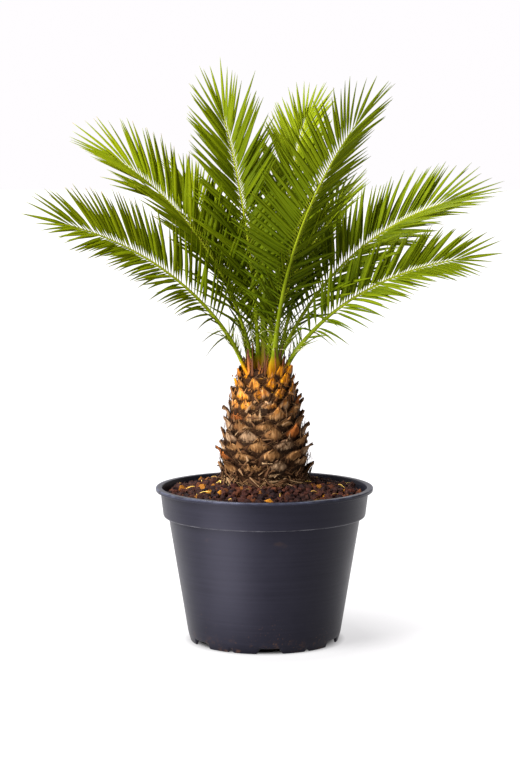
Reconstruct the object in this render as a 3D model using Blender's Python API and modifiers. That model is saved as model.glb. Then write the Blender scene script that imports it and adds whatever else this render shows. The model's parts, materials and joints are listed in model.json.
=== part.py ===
"""Potted Canary Island date palm: a nursery pot, its soil, a lava mulch, the trunk and its fronds.

Metres, +Z up. The origin is the middle of the pot's foot, and the plant's front faces -Y.
Run with: blender --background --python part.py
"""

import math

import bmesh
import bpy
import numpy as np
from mathutils import Matrix, Vector
from mathutils.bvhtree import BVHTree

# Driving dimensions
RIM_RADIUS = 0.200  # outside of the pot's lip
POT_HEIGHT = 0.284
WALL = 0.003  # moulded plastic
GAP = 0.0003  # between pieces that touch
TURN_STEPS = 40  # sides of every turned shape

# Pot
LIP_DROP = 0.0070
LIP_ROUND = 0.0020
BAND_TOP_RADIUS = 0.1915
BAND_FOOT_RADIUS = 0.1855
BAND_FOOT_Z = 0.2300
BODY_TOP_RADIUS = 0.1765
BODY_FOOT_RADIUS = 0.1410
HEEL_Z = 0.0150
FOOT_RADIUS = 0.1365
CHANNEL_Z = 0.0120  # underside of the raised drainage channel
CHANNEL_INNER_RADIUS = 0.100
PAD_RADIUS = 0.088  # flat middle of the floor, which stands on the ground
NOTCHES = 6
NOTCH_FIRST_AZIMUTH = -86.0
NOTCH_WIDTH, NOTCH_TOP_WIDTH, NOTCH_HEIGHT = 0.045, 0.036, 0.0092
NICK_WIDTH, NICK_TOP_WIDTH, NICK_HEIGHT = 0.009, 0.001, 0.0048
DRAIN_RADIUS = 0.007
DRAIN_SIDES = 10

# Soil and mulch, both banked up towards the trunk
SOIL_EDGE_Z, SOIL_MIDDLE_Z = 0.2580, 0.2880
MULCH_EDGE_Z, MULCH_MIDDLE_Z = 0.2700, 0.2975
MULCH_INNER_RADIUS = 0.0830
MULCH_RINGS, MULCH_STEPS = 13, 68  # its stones are about 9 by 12 mm
MULCH_ROUGHNESS = 0.0070

# Trunk
ROOT_RADIUS, ROOT_BOTTOM_Z = 0.0550, 0.2000
FLARE_RADIUS = 0.0790
COLLAR_Z = 0.2990  # where the leaf bases begin
CROWN_Z = 0.4970  # flat crown that the petioles stand on
CORE_HEIGHTS = (0.299, 0.340, 0.370, 0.400, 0.440, 0.470, 0.497)
CORE_RADII = (0.0730, 0.0735, 0.0700, 0.0640, 0.0565, 0.0495, 0.0450)
BOOTS_PER_ROW = 10
BOOT_ROWS = 9
BOOT_TWIST = 0.60  # of one boot's width, from row to row
BOOT_REACH_LOW, BOOT_REACH_HIGH = 0.0195, 0.0115
BOOT_TIP_WIDTH = 0.16  # of the boot's own width

# Fronds
RACHIS_STEP = 0.002
RACHIS_PLACES = (0.0, 0.15, 0.50, 1.0)
RACHIS_WIDTHS = (0.0125, 0.0078, 0.0048, 0.0024)
RACHIS_THICKNESSES = (0.0085, 0.0062, 0.0040, 0.0020)
BLADE_THICKNESS, TIP_EDGE = 0.0009, 0.0008
LEAFLET_WIDTH = 0.0135
LEAFLET_ROOT = 0.0050
WIDEST_AT = 0.38  # of the leaflet's length
FIRST_LEAFLET = 0.17  # along the rachis, as a share
VALLEY_ANGLE = 27.0  # how far both rows of leaflets fold up from the blade's plane
CLEARANCE = 0.0004  # kept round every leaflet
OUTER_RING, INNER_RING = 0.0335, 0.0165
SPEAR_HEIGHT, SPEAR_RADIUS = 0.250, 0.0055

# How a leaflet may give way: its length, and degrees added to its fold and to its angle from the rachis
LEAFLET_TRIES = [
    (shorter, opened, turned_by)
    for shorter in (1.0, 0.88, 0.74, 0.60, 0.45, 0.30, 0.20)
    for opened in (0, 7, -7, 14, -14, 21, -21, 28, -28)
    for turned_by in (0, 4, -4, 8, -8)
]

# Each frond: azimuth and ring where its petiole stands, lean at the crown and at the tip (degrees above the
# horizon), bend, length (m), sweep and roll (degrees), length of its longest leaflets (m), share of that in the
# row that faces down, angle of the first ones to the rachis (degrees), pairs of leaflets
FRONDS = {
    "frond_front_right": (302, OUTER_RING, 91, 46, 0.70, 0.512, 15, 14, 0.124, 1.00, 71, 26),
    "frond_front_inner": (318, INNER_RING, 89, 48, 1.00, 0.300, 60, 0, 0.110, 1.00, 56, 17),
    "frond_left_low": (192, OUTER_RING, 74, 14, 0.70, 0.458, 22, 74, 0.118, 0.74, 53, 25),
    "frond_right_low": (352, OUTER_RING, 66, 9, 0.75, 0.395, 7, -70, 0.103, 0.76, 53, 23),
    "frond_left_high": (172, INNER_RING, 78, 33, 1.15, 0.470, 0, 40, 0.134, 1.00, 53, 24),
    "frond_right_high": (14, INNER_RING, 67, 16, 1.20, 0.468, -16, -50, 0.122, 1.00, 53, 25),
    "frond_back_high": (68, INNER_RING, 78, 44, 1.55, 0.524, 4, 0, 0.126, 1.00, 50, 24),
    "frond_back_upper": (127, INNER_RING, 86, 64, 1.20, 0.484, -4, 27, 0.138, 1.00, 56, 26),
    "frond_back": (92, OUTER_RING, 66, 12, 0.85, 0.420, 5, 0, 0.116, 1.00, 58, 21),
    "frond_back_right": (46, OUTER_RING, 78, 36, 1.00, 0.380, 14, 0, 0.116, 1.00, 58, 19),
    "frond_back_left": (137, OUTER_RING, 78, 40, 1.00, 0.400, -16, 0, 0.116, 1.00, 58, 19),
}


def share(value, low, high):
    """How far value lies from low to high, held between 0 and 1."""
    return min(1.0, max(0.0, (value - low) / (high - low)))


def make_material(name, colour, roughness, metallic=0.0):
    made = bpy.data.materials.new(name)
    made.use_nodes = True
    shader = made.node_tree.nodes["Principled BSDF"]
    shader.inputs["Base Color"].default_value = (*colour, 1.0)
    shader.inputs["Roughness"].default_value = roughness
    shader.inputs["Metallic"].default_value = metallic
    return made


def add_object(name, mesh, collection, material=None):
    made = bpy.data.objects.new(name, mesh)
    collection.objects.link(made)
    if material:
        mesh.materials.append(material)
    return made


def turned(name, profile, collection, material, steps=TURN_STEPS):
    """A profile of (radius, height) points spun round Z. It runs down the outer side and up the inner one."""
    mesh = bpy.data.meshes.new(name)
    points = [(radius, 0.0, z) for radius, z in profile]
    closed_loop = profile[0][0] > 0
    edges = [(i, i + 1) for i in range(len(points) - 1)]
    if closed_loop:
        edges.append((len(points) - 1, 0))
    mesh.from_pydata(points, edges, [])
    made = add_object(name, mesh, collection, material)
    spin = made.modifiers.new("turn", "SCREW")
    spin.axis = "Z"
    spin.steps = spin.render_steps = steps
    spin.use_merge_vertices = True
    spin.merge_threshold = 0.00005
    return made


def frustum_cutter(name, width, top_width, height, depth):
    """A block that narrows from width at z 0 to top_width at z height, and reaches well below z 0."""
    below = height
    slope = (width - top_width) / 2 / height
    cutter = bmesh.new()
    bmesh.ops.create_cube(cutter, size=1.0)
    for corner in cutter.verts:
        up = corner.co.z > 0
        half = top_width / 2 if up else width / 2 + slope * below
        corner.co = Vector((corner.co.x * depth, math.copysign(half, corner.co.y), height if up else -below))
    mesh = bpy.data.meshes.new(name)
    cutter.to_mesh(mesh)
    cutter.free()
    return mesh


def set_as_cutter(cutter, azimuth, radius):
    angle = math.radians(azimuth)
    cutter.location = (radius * math.cos(angle), radius * math.sin(angle), 0.0)
    cutter.rotation_euler = (0.0, 0.0, angle)
    cutter.hide_render = True
    cutter.display_type = "WIRE"


def inner_wall_radius(z):
    """Inside radius of the pot's tapered body."""
    rise = share(z, HEEL_Z, BAND_FOOT_Z)
    return BODY_FOOT_RADIUS + (BODY_TOP_RADIUS - BODY_FOOT_RADIUS) * rise - WALL


def build_pot(collection, cutters):
    """Blow-thin tapered pot: a rolled lip, a wider band below it, and a notched foot round a raised channel."""
    floor = CHANNEL_Z + WALL
    profile = [
        (0.0, WALL),
        (PAD_RADIUS, WALL),
        (CHANNEL_INNER_RADIUS, floor),
        (inner_wall_radius(floor), floor),
        (inner_wall_radius(BAND_FOOT_Z), BAND_FOOT_Z + 0.002),
        (BAND_FOOT_RADIUS - WALL, BAND_FOOT_Z + 0.005),
        (BAND_TOP_RADIUS - WALL, POT_HEIGHT),
        (RIM_RADIUS - LIP_ROUND, POT_HEIGHT),
        (RIM_RADIUS, POT_HEIGHT - LIP_ROUND),
        (RIM_RADIUS - 0.0005, POT_HEIGHT - LIP_DROP),
        (BAND_TOP_RADIUS, POT_HEIGHT - LIP_DROP),
        (BAND_FOOT_RADIUS, BAND_FOOT_Z + 0.003),
        (BAND_FOOT_RADIUS - 0.003, BAND_FOOT_Z),
        (BODY_TOP_RADIUS, BAND_FOOT_Z),
        (BODY_FOOT_RADIUS, HEEL_Z),
        (FOOT_RADIUS, 0.0),
        (FOOT_RADIUS - WALL, 0.0),
        (FOOT_RADIUS - WALL, CHANNEL_Z),
        (CHANNEL_INNER_RADIUS, CHANNEL_Z),
        (PAD_RADIUS, 0.0),
        (0.0, 0.0),
    ]
    plastic = make_material("pot_plastic", (0.058, 0.056, 0.072), 0.42)
    pot = turned("pot", profile, collection, plastic)

    reach = 0.020
    notch = frustum_cutter("notch", NOTCH_WIDTH, NOTCH_TOP_WIDTH, NOTCH_HEIGHT, reach)
    nick = frustum_cutter("nick", NICK_WIDTH, NICK_TOP_WIDTH, NICK_HEIGHT, reach)
    drain = bpy.data.meshes.new("drain")
    hole = bmesh.new()
    bmesh.ops.create_cone(
        hole, segments=DRAIN_SIDES, radius1=DRAIN_RADIUS, radius2=DRAIN_RADIUS, depth=6 * WALL, cap_ends=True,
        matrix=Matrix.Translation((0.0, 0.0, CHANNEL_Z + WALL / 2)),
    )
    hole.to_mesh(drain)
    hole.free()
    spacing = 360.0 / NOTCHES
    channel_middle = (CHANNEL_INNER_RADIUS + FOOT_RADIUS - WALL) / 2
    for i in range(NOTCHES):
        azimuth = NOTCH_FIRST_AZIMUTH + i * spacing
        set_as_cutter(add_object(f"cut_notch_{i}", notch, cutters), azimuth, FOOT_RADIUS)
        set_as_cutter(add_object(f"cut_nick_{i}", nick, cutters), azimuth + spacing / 2, FOOT_RADIUS)
        set_as_cutter(add_object(f"cut_drain_{i}", drain, cutters), azimuth, channel_middle)
    cut = pot.modifiers.new("notches", "BOOLEAN")
    cut.operation = "DIFFERENCE"
    cut.operand_type = "COLLECTION"
    cut.collection = cutters
    return pot


def build_soil(collection):
    """Potting soil: fills the pot to below the rim, banked up round a plain hole for the root ball."""
    floor = CHANNEL_Z + WALL + GAP
    profile = [
        (0.0, ROOT_BOTTOM_Z),
        (ROOT_RADIUS + 2 * GAP, ROOT_BOTTOM_Z),
        (ROOT_RADIUS + 2 * GAP, SOIL_MIDDLE_Z),
        (BAND_FOOT_RADIUS - WALL - GAP, SOIL_EDGE_Z),
        (BAND_FOOT_RADIUS - WALL - GAP, BAND_FOOT_Z + 0.005 + 2 * GAP),
        (inner_wall_radius(BAND_FOOT_Z) - GAP, BAND_FOOT_Z + 0.002 + 2 * GAP),
        (inner_wall_radius(floor) - GAP, floor),
        (CHANNEL_INNER_RADIUS - GAP, floor),
        (PAD_RADIUS - GAP, WALL + GAP),
        (0.0, WALL + GAP),
    ]
    peat = make_material("potting_soil", (0.045, 0.026, 0.016), 0.95)
    return turned("potting_soil", profile, collection, peat)


def banked_z(radius, edge_z, middle_z):
    """Height of a surface that climbs in a straight line from the pot's wall to the root ball."""
    wall_radius = BAND_FOOT_RADIUS - WALL - GAP
    climbed = min(1.0, max(0.0, (wall_radius - radius) / (wall_radius - ROOT_RADIUS)))
    return edge_z + (middle_z - edge_z) * climbed


def build_mulch(collection):
    """Lava gravel laid on the soil: a ring whose top is broken up into stones by jittering its grid."""
    outer = BAND_FOOT_RADIUS - WALL + 0.0015
    radii = np.linspace(MULCH_INNER_RADIUS, outer, MULCH_RINGS)
    bottom = [(r, banked_z(r, SOIL_EDGE_Z, SOIL_MIDDLE_Z) + GAP) for r in (outer, MULCH_INNER_RADIUS)]
    top = [(r, banked_z(r, MULCH_EDGE_Z, MULCH_MIDDLE_Z)) for r in radii]
    lava = make_material("lava_mulch", (0.105, 0.045, 0.030), 0.85)
    spun = turned("mulch_blank", top + bottom, collection, lava, steps=MULCH_STEPS)

    graph = bpy.context.evaluated_depsgraph_get()
    mesh = bpy.data.meshes.new_from_object(spun.evaluated_get(graph))
    bpy.data.objects.remove(spun)
    mesh.name = "lava_mulch"
    draw = np.random.default_rng(7)
    ring_gap = radii[1] - radii[0]
    stones = bmesh.new()
    stones.from_mesh(mesh)
    bmesh.ops.remove_doubles(stones, verts=stones.verts, dist=0.00005)
    for point in sorted(stones.verts, key=lambda v: (round(v.co.z, 5), round(math.atan2(v.co.y, v.co.x), 4))):
        radius = math.hypot(point.co.x, point.co.y)
        if point.co.z < banked_z(radius, MULCH_EDGE_Z, MULCH_MIDDLE_Z) - 0.001:
            continue
        point.co.z += draw.uniform(-0.4, 1.0) * MULCH_ROUGHNESS
        if radii[0] + 0.001 < radius < radii[-1] - 0.001:
            turn = draw.uniform(-0.40, 0.40) * 2 * math.pi / MULCH_STEPS
            angle = math.atan2(point.co.y, point.co.x) + turn
            radius += draw.uniform(-0.40, 0.40) * ring_gap
            point.co.x, point.co.y = radius * math.cos(angle), radius * math.sin(angle)
    bmesh.ops.triangulate(stones, faces=stones.faces)
    stones.to_mesh(mesh)
    stones.free()
    return add_object("lava_mulch", mesh, collection)


def core_radius(z):
    return float(np.interp(z, CORE_HEIGHTS, CORE_RADII))


def polar(radius, angle, z):
    return (radius * math.cos(angle), radius * math.sin(angle), z)


def build_trunk(collection):
    """Short trunk: a root ball in the soil, a flared foot, and rows of trimmed leaf bases up to a flat crown.

    The leaf bases are diamonds of a lattice wound round the core. Each is lifted into a boot whose blunt
    tip stands out over the diamond above it.
    """
    body = bmesh.new()
    width = 2 * math.pi / BOOTS_PER_ROW
    draw = np.random.default_rng(21)

    def ring(radius, z, row):
        return [body.verts.new(polar(radius, width * (i + BOOT_TWIST * row), z)) for i in range(BOOTS_PER_ROW)]

    def bridge(low, high):
        for i in range(BOOTS_PER_ROW):
            j = (i + 1) % BOOTS_PER_ROW
            body.faces.new((low[i], low[j], high[j]))
            body.faces.new((low[i], high[j], high[i]))

    heights = np.linspace(COLLAR_Z, CROWN_Z, BOOT_ROWS + 2)
    lattice = [ring(core_radius(z), z, row) for row, z in enumerate(heights)]
    flare_z = banked_z(FLARE_RADIUS, SOIL_EDGE_Z, SOIL_MIDDLE_Z) + 4 * GAP
    foot = [
        ring(ROOT_RADIUS, ROOT_BOTTOM_Z + GAP, 0),
        ring(ROOT_RADIUS, SOIL_MIDDLE_Z + 5 * GAP, 0),
        ring(FLARE_RADIUS, flare_z, 0),
        ring(FLARE_RADIUS, COLLAR_Z - 0.004, 0),
        lattice[0],
    ]
    for low, high in zip(foot, foot[1:]):
        bridge(low, high)
    body.faces.new(list(reversed(foot[0])))
    body.faces.new(lattice[-1])
    for i in range(BOOTS_PER_ROW):
        j = (i + 1) % BOOTS_PER_ROW
        body.faces.new((lattice[0][i], lattice[0][j], lattice[1][i]))
        body.faces.new((lattice[-1][i], lattice[-2][j], lattice[-1][j]))

    row_height = heights[1] - heights[0]
    for row in range(BOOT_ROWS):
        reach = BOOT_REACH_LOW + (BOOT_REACH_HIGH - BOOT_REACH_LOW) * row / (BOOT_ROWS - 1)
        for i in range(BOOTS_PER_ROW):
            bottom, top = lattice[row][i], lattice[row + 2][i - 1]
            left, right = lattice[row + 1][i - 1], lattice[row + 1][i]
            lift = draw.uniform(0.75, 1.15)
            skew = draw.uniform(-0.06, 0.06)
            across = width * (i + BOOT_TWIST * row + (BOOT_TWIST - 0.5))
            belly_radius = core_radius(heights[row + 1]) + 0.50 * reach
            belly_z = heights[row + 1] - 0.1 * row_height
            belly_left, belly_right = (
                body.verts.new(polar(belly_radius, across + side * 0.30 * width, belly_z)) for side in (-1, 1)
            )
            across += width * (BOOT_TWIST - 0.5 + skew)
            tip_radius = core_radius(heights[row + 2]) + lift * reach
            tip_z = heights[row + 2] + 0.15 * row_height * lift
            tip_left, tip_right = (
                body.verts.new(polar(tip_radius, across + side * BOOT_TIP_WIDTH / 2 * width, tip_z))
                for side in (-1, 1)
            )
            for face in (
                (bottom, right, belly_right),
                (bottom, belly_right, belly_left),
                (bottom, belly_left, left),
                (left, belly_left, tip_left),
                (belly_left, belly_right, tip_right),
                (belly_left, tip_right, tip_left),
                (belly_right, right, tip_right),
                (left, tip_left, top),
                (tip_left, tip_right, top),
                (tip_right, right, top),
            ):
                body.faces.new(face)
    mesh = bpy.data.meshes.new("trunk")
    body.to_mesh(mesh)
    body.free()
    return add_object("trunk", mesh, collection, make_material("leaf_bases", (0.230, 0.125, 0.060), 0.85))


def build_spear(collection, material):
    """The unopened leaf that stands in the middle of the crown."""
    profile = [
        (0.0, CROWN_Z + GAP + SPEAR_HEIGHT),
        (0.0010, CROWN_Z + GAP + 0.97 * SPEAR_HEIGHT),
        (0.8 * SPEAR_RADIUS, CROWN_Z + GAP + 0.45 * SPEAR_HEIGHT),
        (SPEAR_RADIUS, CROWN_Z + GAP),
        (0.0, CROWN_Z + GAP),
    ]
    return turned("spear_leaf", profile, collection, material, steps=8)


def frond_line(azimuth, ring, lean, tip_lean, bend, length, sweep, roll):
    """The rachis as points, with three directions at each: along it, across it, and up out of its upper side.

    The lean above the horizon goes from lean to tip_lean as a power of the share of the length. The petiole
    leaves the crown untwisted, and the blade has its whole roll where the leaflets begin.
    """
    count = int(round(length / RACHIS_STEP)) + 1
    reached = np.linspace(0.0, 1.0, count)
    rise = np.radians(lean + (tip_lean - lean) * reached**bend)
    heading = np.radians(azimuth + sweep * reached)
    along = np.stack([np.cos(rise) * np.cos(heading), np.cos(rise) * np.sin(heading), np.sin(rise)], 1)
    steps = (along[1:] + along[:-1]) / 2 * length / (count - 1)
    points = np.concatenate([np.zeros((1, 3)), np.cumsum(steps, 0)])
    points += polar(ring, math.radians(azimuth), CROWN_Z + GAP)
    level = np.stack([-np.sin(heading), np.cos(heading), np.zeros(count)], 1)
    above = np.cross(along, level)
    twist = np.radians(roll) * np.clip(reached / FIRST_LEAFLET, 0, 1)[:, None]
    across = np.cos(twist) * level - np.sin(twist) * above
    up = np.cos(twist) * above + np.sin(twist) * level
    return reached, points, along, across, up


def frame_at(line, place):
    """Point and directions of a frond_line at a share of its length."""
    reached = line[0]
    found = [np.array([np.interp(place, reached, part[:, k]) for k in range(3)]) for part in line[1:]]
    return [found[0]] + [part / np.linalg.norm(part) for part in found[1:]]


def rachis_section(line, place, slim):
    """Four corners round the rachis: under side left and right, upper side right and left."""
    point, along, across, up = frame_at(line, place)
    width = np.interp(place, RACHIS_PLACES, RACHIS_WIDTHS)
    thickness = np.interp(place, RACHIS_PLACES, RACHIS_THICKNESSES)
    slimmer = slim + (1 - slim) * share(place, 0.0, 0.35)
    half_width, half_thickness = width * slimmer / 2, thickness * slimmer / 2
    corners = [
        point - half_width * across - half_thickness * up,
        point + half_width * across - half_thickness * up,
        point + half_width * across + half_thickness * up,
        point - half_width * across + half_thickness * up,
    ]
    if place == 0.0:
        corners = [c + along * (point[2] - c[2]) / along[2] for c in corners]
    return corners


def leaflet_plan(place, spacing, longest, widest_angle):
    """Length, width, angle from the rachis, in metres and degrees, for a leaflet at a share of the rachis."""
    along_blade = share(place, FIRST_LEAFLET, 1.0)
    grown = share(along_blade, -0.08, 0.30)
    length = longest * (0.50 + 0.50 * grown) * (1 - 0.14 * along_blade**2)
    angle = widest_angle * (1 - 0.36 * along_blade - 0.48 * along_blade**12)
    fan = math.radians(widest_angle * (0.36 + 5.76 * along_blade**11)) * spacing
    room = spacing * math.sin(math.radians(angle)) + WIDEST_AT * length * fan
    width = min(LEAFLET_WIDTH * (0.45 + 0.55 * grown), 0.84 * room)
    return length, width, angle


def blade(root, centre, out, wide, thick, length, width, droop, swell=0.0):
    """Corners of a leaflet beyond its root: four at its widest, then the two of its upright tip edge.

    root lists, for each corner of the root, which side of the leaflet it belongs to and whether it is on top.
    """
    middle = centre + out * WIDEST_AT * length
    ring = [
        middle + wide * side * (width / 2 + swell) + thick * top * (BLADE_THICKNESS / 2 + swell)
        for side, top in root
    ]
    end = centre + out * (length + swell) - np.array((0, 0, droop * length))
    tips = [end + thick * top * (TIP_EDGE / 2 + swell) for top in (-1, 1)]
    return ring + tips


def blade_faces(root_ids, first_id, root):
    """Faces from the root's corners to the widest ring, and from there to the tip edge."""
    faces = []
    ring_ids = [first_id + k for k in range(4)]
    for k in range(4):
        n = (k + 1) % 4
        faces.append((root_ids[k], root_ids[n], ring_ids[n]))
        faces.append((root_ids[k], ring_ids[n], ring_ids[k]))
        tip_k, tip_n = (first_id + (5 if root[m][1] > 0 else 4) for m in (k, n))
        faces.append((ring_ids[k], ring_ids[n], tip_n))
        if tip_k != tip_n:
            faces.append((ring_ids[k], tip_n, tip_k))
    return faces


def crosses(points, faces, others):
    tree = BVHTree.FromPolygons([Vector(p) for p in points], faces)
    return any(tree.overlap(other) for other in others)


class Frond:
    """One leaf as a closed mesh: a four-sided rachis whose sides open into leaflets.

    It is a loft between unlike sections, from the rachis's quads to the leaflets' blades, with its faces laid by
    hand, so that each leaflet grows out of the rachis instead of lying against it.
    """

    def __init__(self, name):
        *line_numbers, self.longest, self.low_row, self.widest_angle, pairs = FRONDS[name]
        _, ring, _, _, _, self.length, _, _ = line_numbers
        self.name = name
        self.line = frond_line(*line_numbers)
        self.slim = 1.0 if ring > 0.02 else 0.78
        blade_share = np.linspace(0, 1, pairs) ** 0.84
        self.places = FIRST_LEAFLET + (0.985 - FIRST_LEAFLET) * blade_share
        self.points, self.faces = [], []
        self.roots = []
        self.build_rachis()
        self.tree = BVHTree.FromPolygons([Vector(p) for p in self.points], self.bare_faces())

    def build_rachis(self):
        half_root = LEAFLET_ROOT / 2 / self.length
        stops = [0.0, FIRST_LEAFLET * 0.30, FIRST_LEAFLET * 0.62]
        for place in self.places:
            stops += [place - half_root, place + half_root]
        stops.append(1.0)
        for place in stops:
            self.points += rachis_section(self.line, place, self.slim)
        self.faces += [(3, 2, 1), (3, 1, 0)]
        for stop in range(len(stops) - 1):
            a, b = 4 * stop, 4 * stop + 4
            at_leaflet = stop >= 3 and stop % 2 == 1 and stop < len(stops) - 2
            for k in range(4):
                n = (k + 1) % 4
                if at_leaflet and k in (1, 3):
                    self.roots.append((self.places[(stop - 3) // 2], k, (a + k, a + n, b + n, b + k)))
                else:
                    self.faces += [(a + k, a + n, b + n), (a + k, b + n, b + k)]
        self.end_ids = tuple(range(len(self.points) - 4, len(self.points)))

    def bare_faces(self):
        faces = list(self.faces)
        for place, k, ids in self.roots:
            faces += [(ids[0], ids[1], ids[2]), (ids[0], ids[2], ids[3])]
        return faces + [self.end_ids[:3], (self.end_ids[0], *self.end_ids[2:])]

    def add_terminal(self, others):
        point, along, across, up = frame_at(self.line, 1.0)
        root = ((-1, -1), (1, -1), (1, 1), (-1, 1))
        for shorter in (1.0, 0.8, 0.6, 0.4, 0.2):
            length = 0.80 * self.longest * shorter
            shape = (root, point, along, across, up, length, 0.0075, 0.02)
            if self.fits(shape, self.end_ids, others, []):
                break
        self.end_tree = self.grow(shape, self.end_ids)

    def fits(self, shape, root_ids, others, neighbours):
        corners = [self.points[i] for i in root_ids] + blade(*shape, swell=CLEARANCE)
        faces = blade_faces((0, 1, 2, 3), 4, shape[0])
        return not crosses(corners, faces, others + neighbours)

    def grow(self, shape, root_ids):
        first = len(self.points)
        self.points += blade(*shape)
        added = blade_faces(root_ids, first, shape[0])
        self.faces += added
        corners = [self.points[i] for i in root_ids] + self.points[first:]
        return BVHTree.FromPolygons([Vector(p) for p in corners], blade_faces((0, 1, 2, 3), 4, shape[0]))

    def add_leaflets(self, others):
        """Each leaflet takes the first position that clears every other piece, the planned one before all."""
        neighbours = {1: [], 3: []}
        skipped = 0
        for place, k, ids in self.roots:
            nth = int(np.argmin(abs(self.places - place)))
            gaps = np.diff(self.places)
            spacing = gaps[min(nth, len(gaps) - 1)] * self.length
            point, along, across, up = frame_at(self.line, place)
            side = 1 if k == 1 else -1
            longest = self.longest * (self.low_row if side * across[2] < 0 else 1.0)
            length, width, angle = leaflet_plan(place, spacing, longest, self.widest_angle)
            root = ((-1, -1), (-1, 1), (1, 1), (1, -1)) if k == 1 else ((-1, 1), (-1, -1), (1, -1), (1, 1))
            centre = sum(self.points[i] for i in ids) / 4
            close = neighbours[k][-2:] + neighbours[4 - k][-1:] + [self.end_tree]
            for shorter, opened, turned_by in LEAFLET_TRIES:
                valley = math.radians(VALLEY_ANGLE + opened)
                forward = math.radians(angle + turned_by)
                row = math.cos(valley) * side * across + math.sin(valley) * up
                out = math.cos(forward) * along + math.sin(forward) * row
                wide = math.sin(forward) * along - math.cos(forward) * row
                thick = np.cross(out, wide)
                thick *= math.copysign(1.0, thick @ up)
                shape = (root, centre, out, wide, thick, length * shorter, width, 0.03)
                if self.fits(shape, ids, others, close):
                    neighbours[k].append(self.grow(shape, ids))
                    break
            else:
                self.faces += [(ids[0], ids[1], ids[2]), (ids[0], ids[2], ids[3])]
                skipped += 1
        return skipped

    def finish(self, collection, material):
        mesh = bpy.data.meshes.new(self.name)
        mesh.from_pydata([tuple(p) for p in self.points], [], self.faces)
        mesh.validate()
        self.tree = BVHTree.FromPolygons([Vector(p) for p in self.points], self.faces)
        return add_object(self.name, mesh, collection, material)


def object_tree(made):
    graph = bpy.context.evaluated_depsgraph_get()
    return BVHTree.FromObject(made, graph)


def build_fronds(collection, solids, material):
    """All the rachises stand first, then each frond's leaflets are fitted among what stands already."""
    bpy.context.view_layer.update()
    fixed = [object_tree(made) for made in solids]
    fronds = [Frond(name) for name in FRONDS]
    for frond in fronds:
        others = fixed + [other.tree for other in fronds if other is not frond]
        frond.add_terminal(others)
        skipped = frond.add_leaflets(others)
        frond.finish(collection, material)
        print(frond.name, "triangles", len(frond.faces), "leaflets left out", skipped)


def main():
    for old in list(bpy.data.objects):
        bpy.data.objects.remove(old)
    palm = bpy.data.collections.new("potted_palm")
    cutters = bpy.data.collections.new("cutters")
    for collection in (palm, cutters):
        bpy.context.scene.collection.children.link(collection)
    build_pot(palm, cutters)
    build_soil(palm)
    build_mulch(palm)
    trunk = build_trunk(palm)
    leaf = make_material("palm_leaf", (0.110, 0.190, 0.010), 0.45)
    spear = build_spear(palm, leaf)
    build_fronds(palm, (trunk, spear), leaf)


main()
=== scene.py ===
"""A young date palm in a nursery pot, in the order it is put together: pot, soil, gravel, trunk, leaves.

Lengths are metres, +Z is up, and the plant's front faces -Y.
"""

import json
import math

import bpy
import numpy as np
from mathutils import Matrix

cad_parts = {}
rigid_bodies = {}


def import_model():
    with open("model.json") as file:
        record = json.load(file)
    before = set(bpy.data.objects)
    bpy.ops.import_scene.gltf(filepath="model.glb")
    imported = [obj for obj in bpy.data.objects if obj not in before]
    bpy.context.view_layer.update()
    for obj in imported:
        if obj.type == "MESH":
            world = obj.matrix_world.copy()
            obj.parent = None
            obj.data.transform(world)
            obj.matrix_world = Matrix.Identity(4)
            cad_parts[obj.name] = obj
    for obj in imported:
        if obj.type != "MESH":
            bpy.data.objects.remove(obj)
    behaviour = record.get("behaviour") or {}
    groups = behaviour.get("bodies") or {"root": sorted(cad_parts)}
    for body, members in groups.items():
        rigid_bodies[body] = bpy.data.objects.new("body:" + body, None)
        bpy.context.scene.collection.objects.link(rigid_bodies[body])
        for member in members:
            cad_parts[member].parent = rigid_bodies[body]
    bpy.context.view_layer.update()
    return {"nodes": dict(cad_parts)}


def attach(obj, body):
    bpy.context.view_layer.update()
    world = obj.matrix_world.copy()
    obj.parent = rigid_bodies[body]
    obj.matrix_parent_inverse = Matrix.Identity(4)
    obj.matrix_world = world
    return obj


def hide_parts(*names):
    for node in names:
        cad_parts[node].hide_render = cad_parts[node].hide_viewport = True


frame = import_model()

# The pot: a thin grey-black nursery pot, blow-moulded in one piece of polypropylene. Its wall widens up to a
# band under a rolled lip, and it stands on a notched ring round a raised channel with six drain holes.
LIP_RADIUS, POT_HEIGHT, WALL = 0.200, 0.284, 0.003
BAND_FOOT_Z, BODY_TOP_RADIUS, BODY_FOOT_RADIUS, HEEL_Z = 0.230, 0.1765, 0.141, 0.015
FOOT_RADIUS, CHANNEL_Z = 0.1365, 0.012
DRAIN_RADIUS, DRAINS_FROM_AXIS = 0.007, 0.1168
NOTCH_AZIMUTHS, NICKS_BEYOND = -86 + 60 * np.arange(6), 30
POT_SIDES = 576


def lay_mesh(name, points, faces, smooth=True):
    """A mesh object from its points and from arrays of faces, where each array has one number of corners."""
    mesh = bpy.data.meshes.new(name)
    points = np.asarray(points, np.float32).reshape(-1, 3)
    corners = np.concatenate([group.reshape(-1) for group in faces]).astype(np.int32)
    sizes = np.concatenate([np.full(len(group), group.shape[1]) for group in faces])
    starts = np.concatenate([[0], np.cumsum(sizes)[:-1]]).astype(np.int32)
    mesh.vertices.add(len(points))
    mesh.vertices.foreach_set("co", points.ravel())
    mesh.loops.add(len(corners))
    mesh.loops.foreach_set("vertex_index", corners)
    mesh.polygons.add(len(sizes))
    mesh.polygons.foreach_set("loop_start", starts)
    mesh.polygons.foreach_set("use_smooth", np.full(len(sizes), smooth))
    mesh.update(calc_edges=True)
    piece = bpy.data.objects.new(name, mesh)
    bpy.context.scene.collection.objects.link(piece)
    return piece


def around(radius, angle, z):
    """Points from their radius, angle and height."""
    radius, angle, z = np.broadcast_arrays(radius, angle, z)
    return np.stack([radius * np.cos(angle), radius * np.sin(angle), z], -1)


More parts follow.
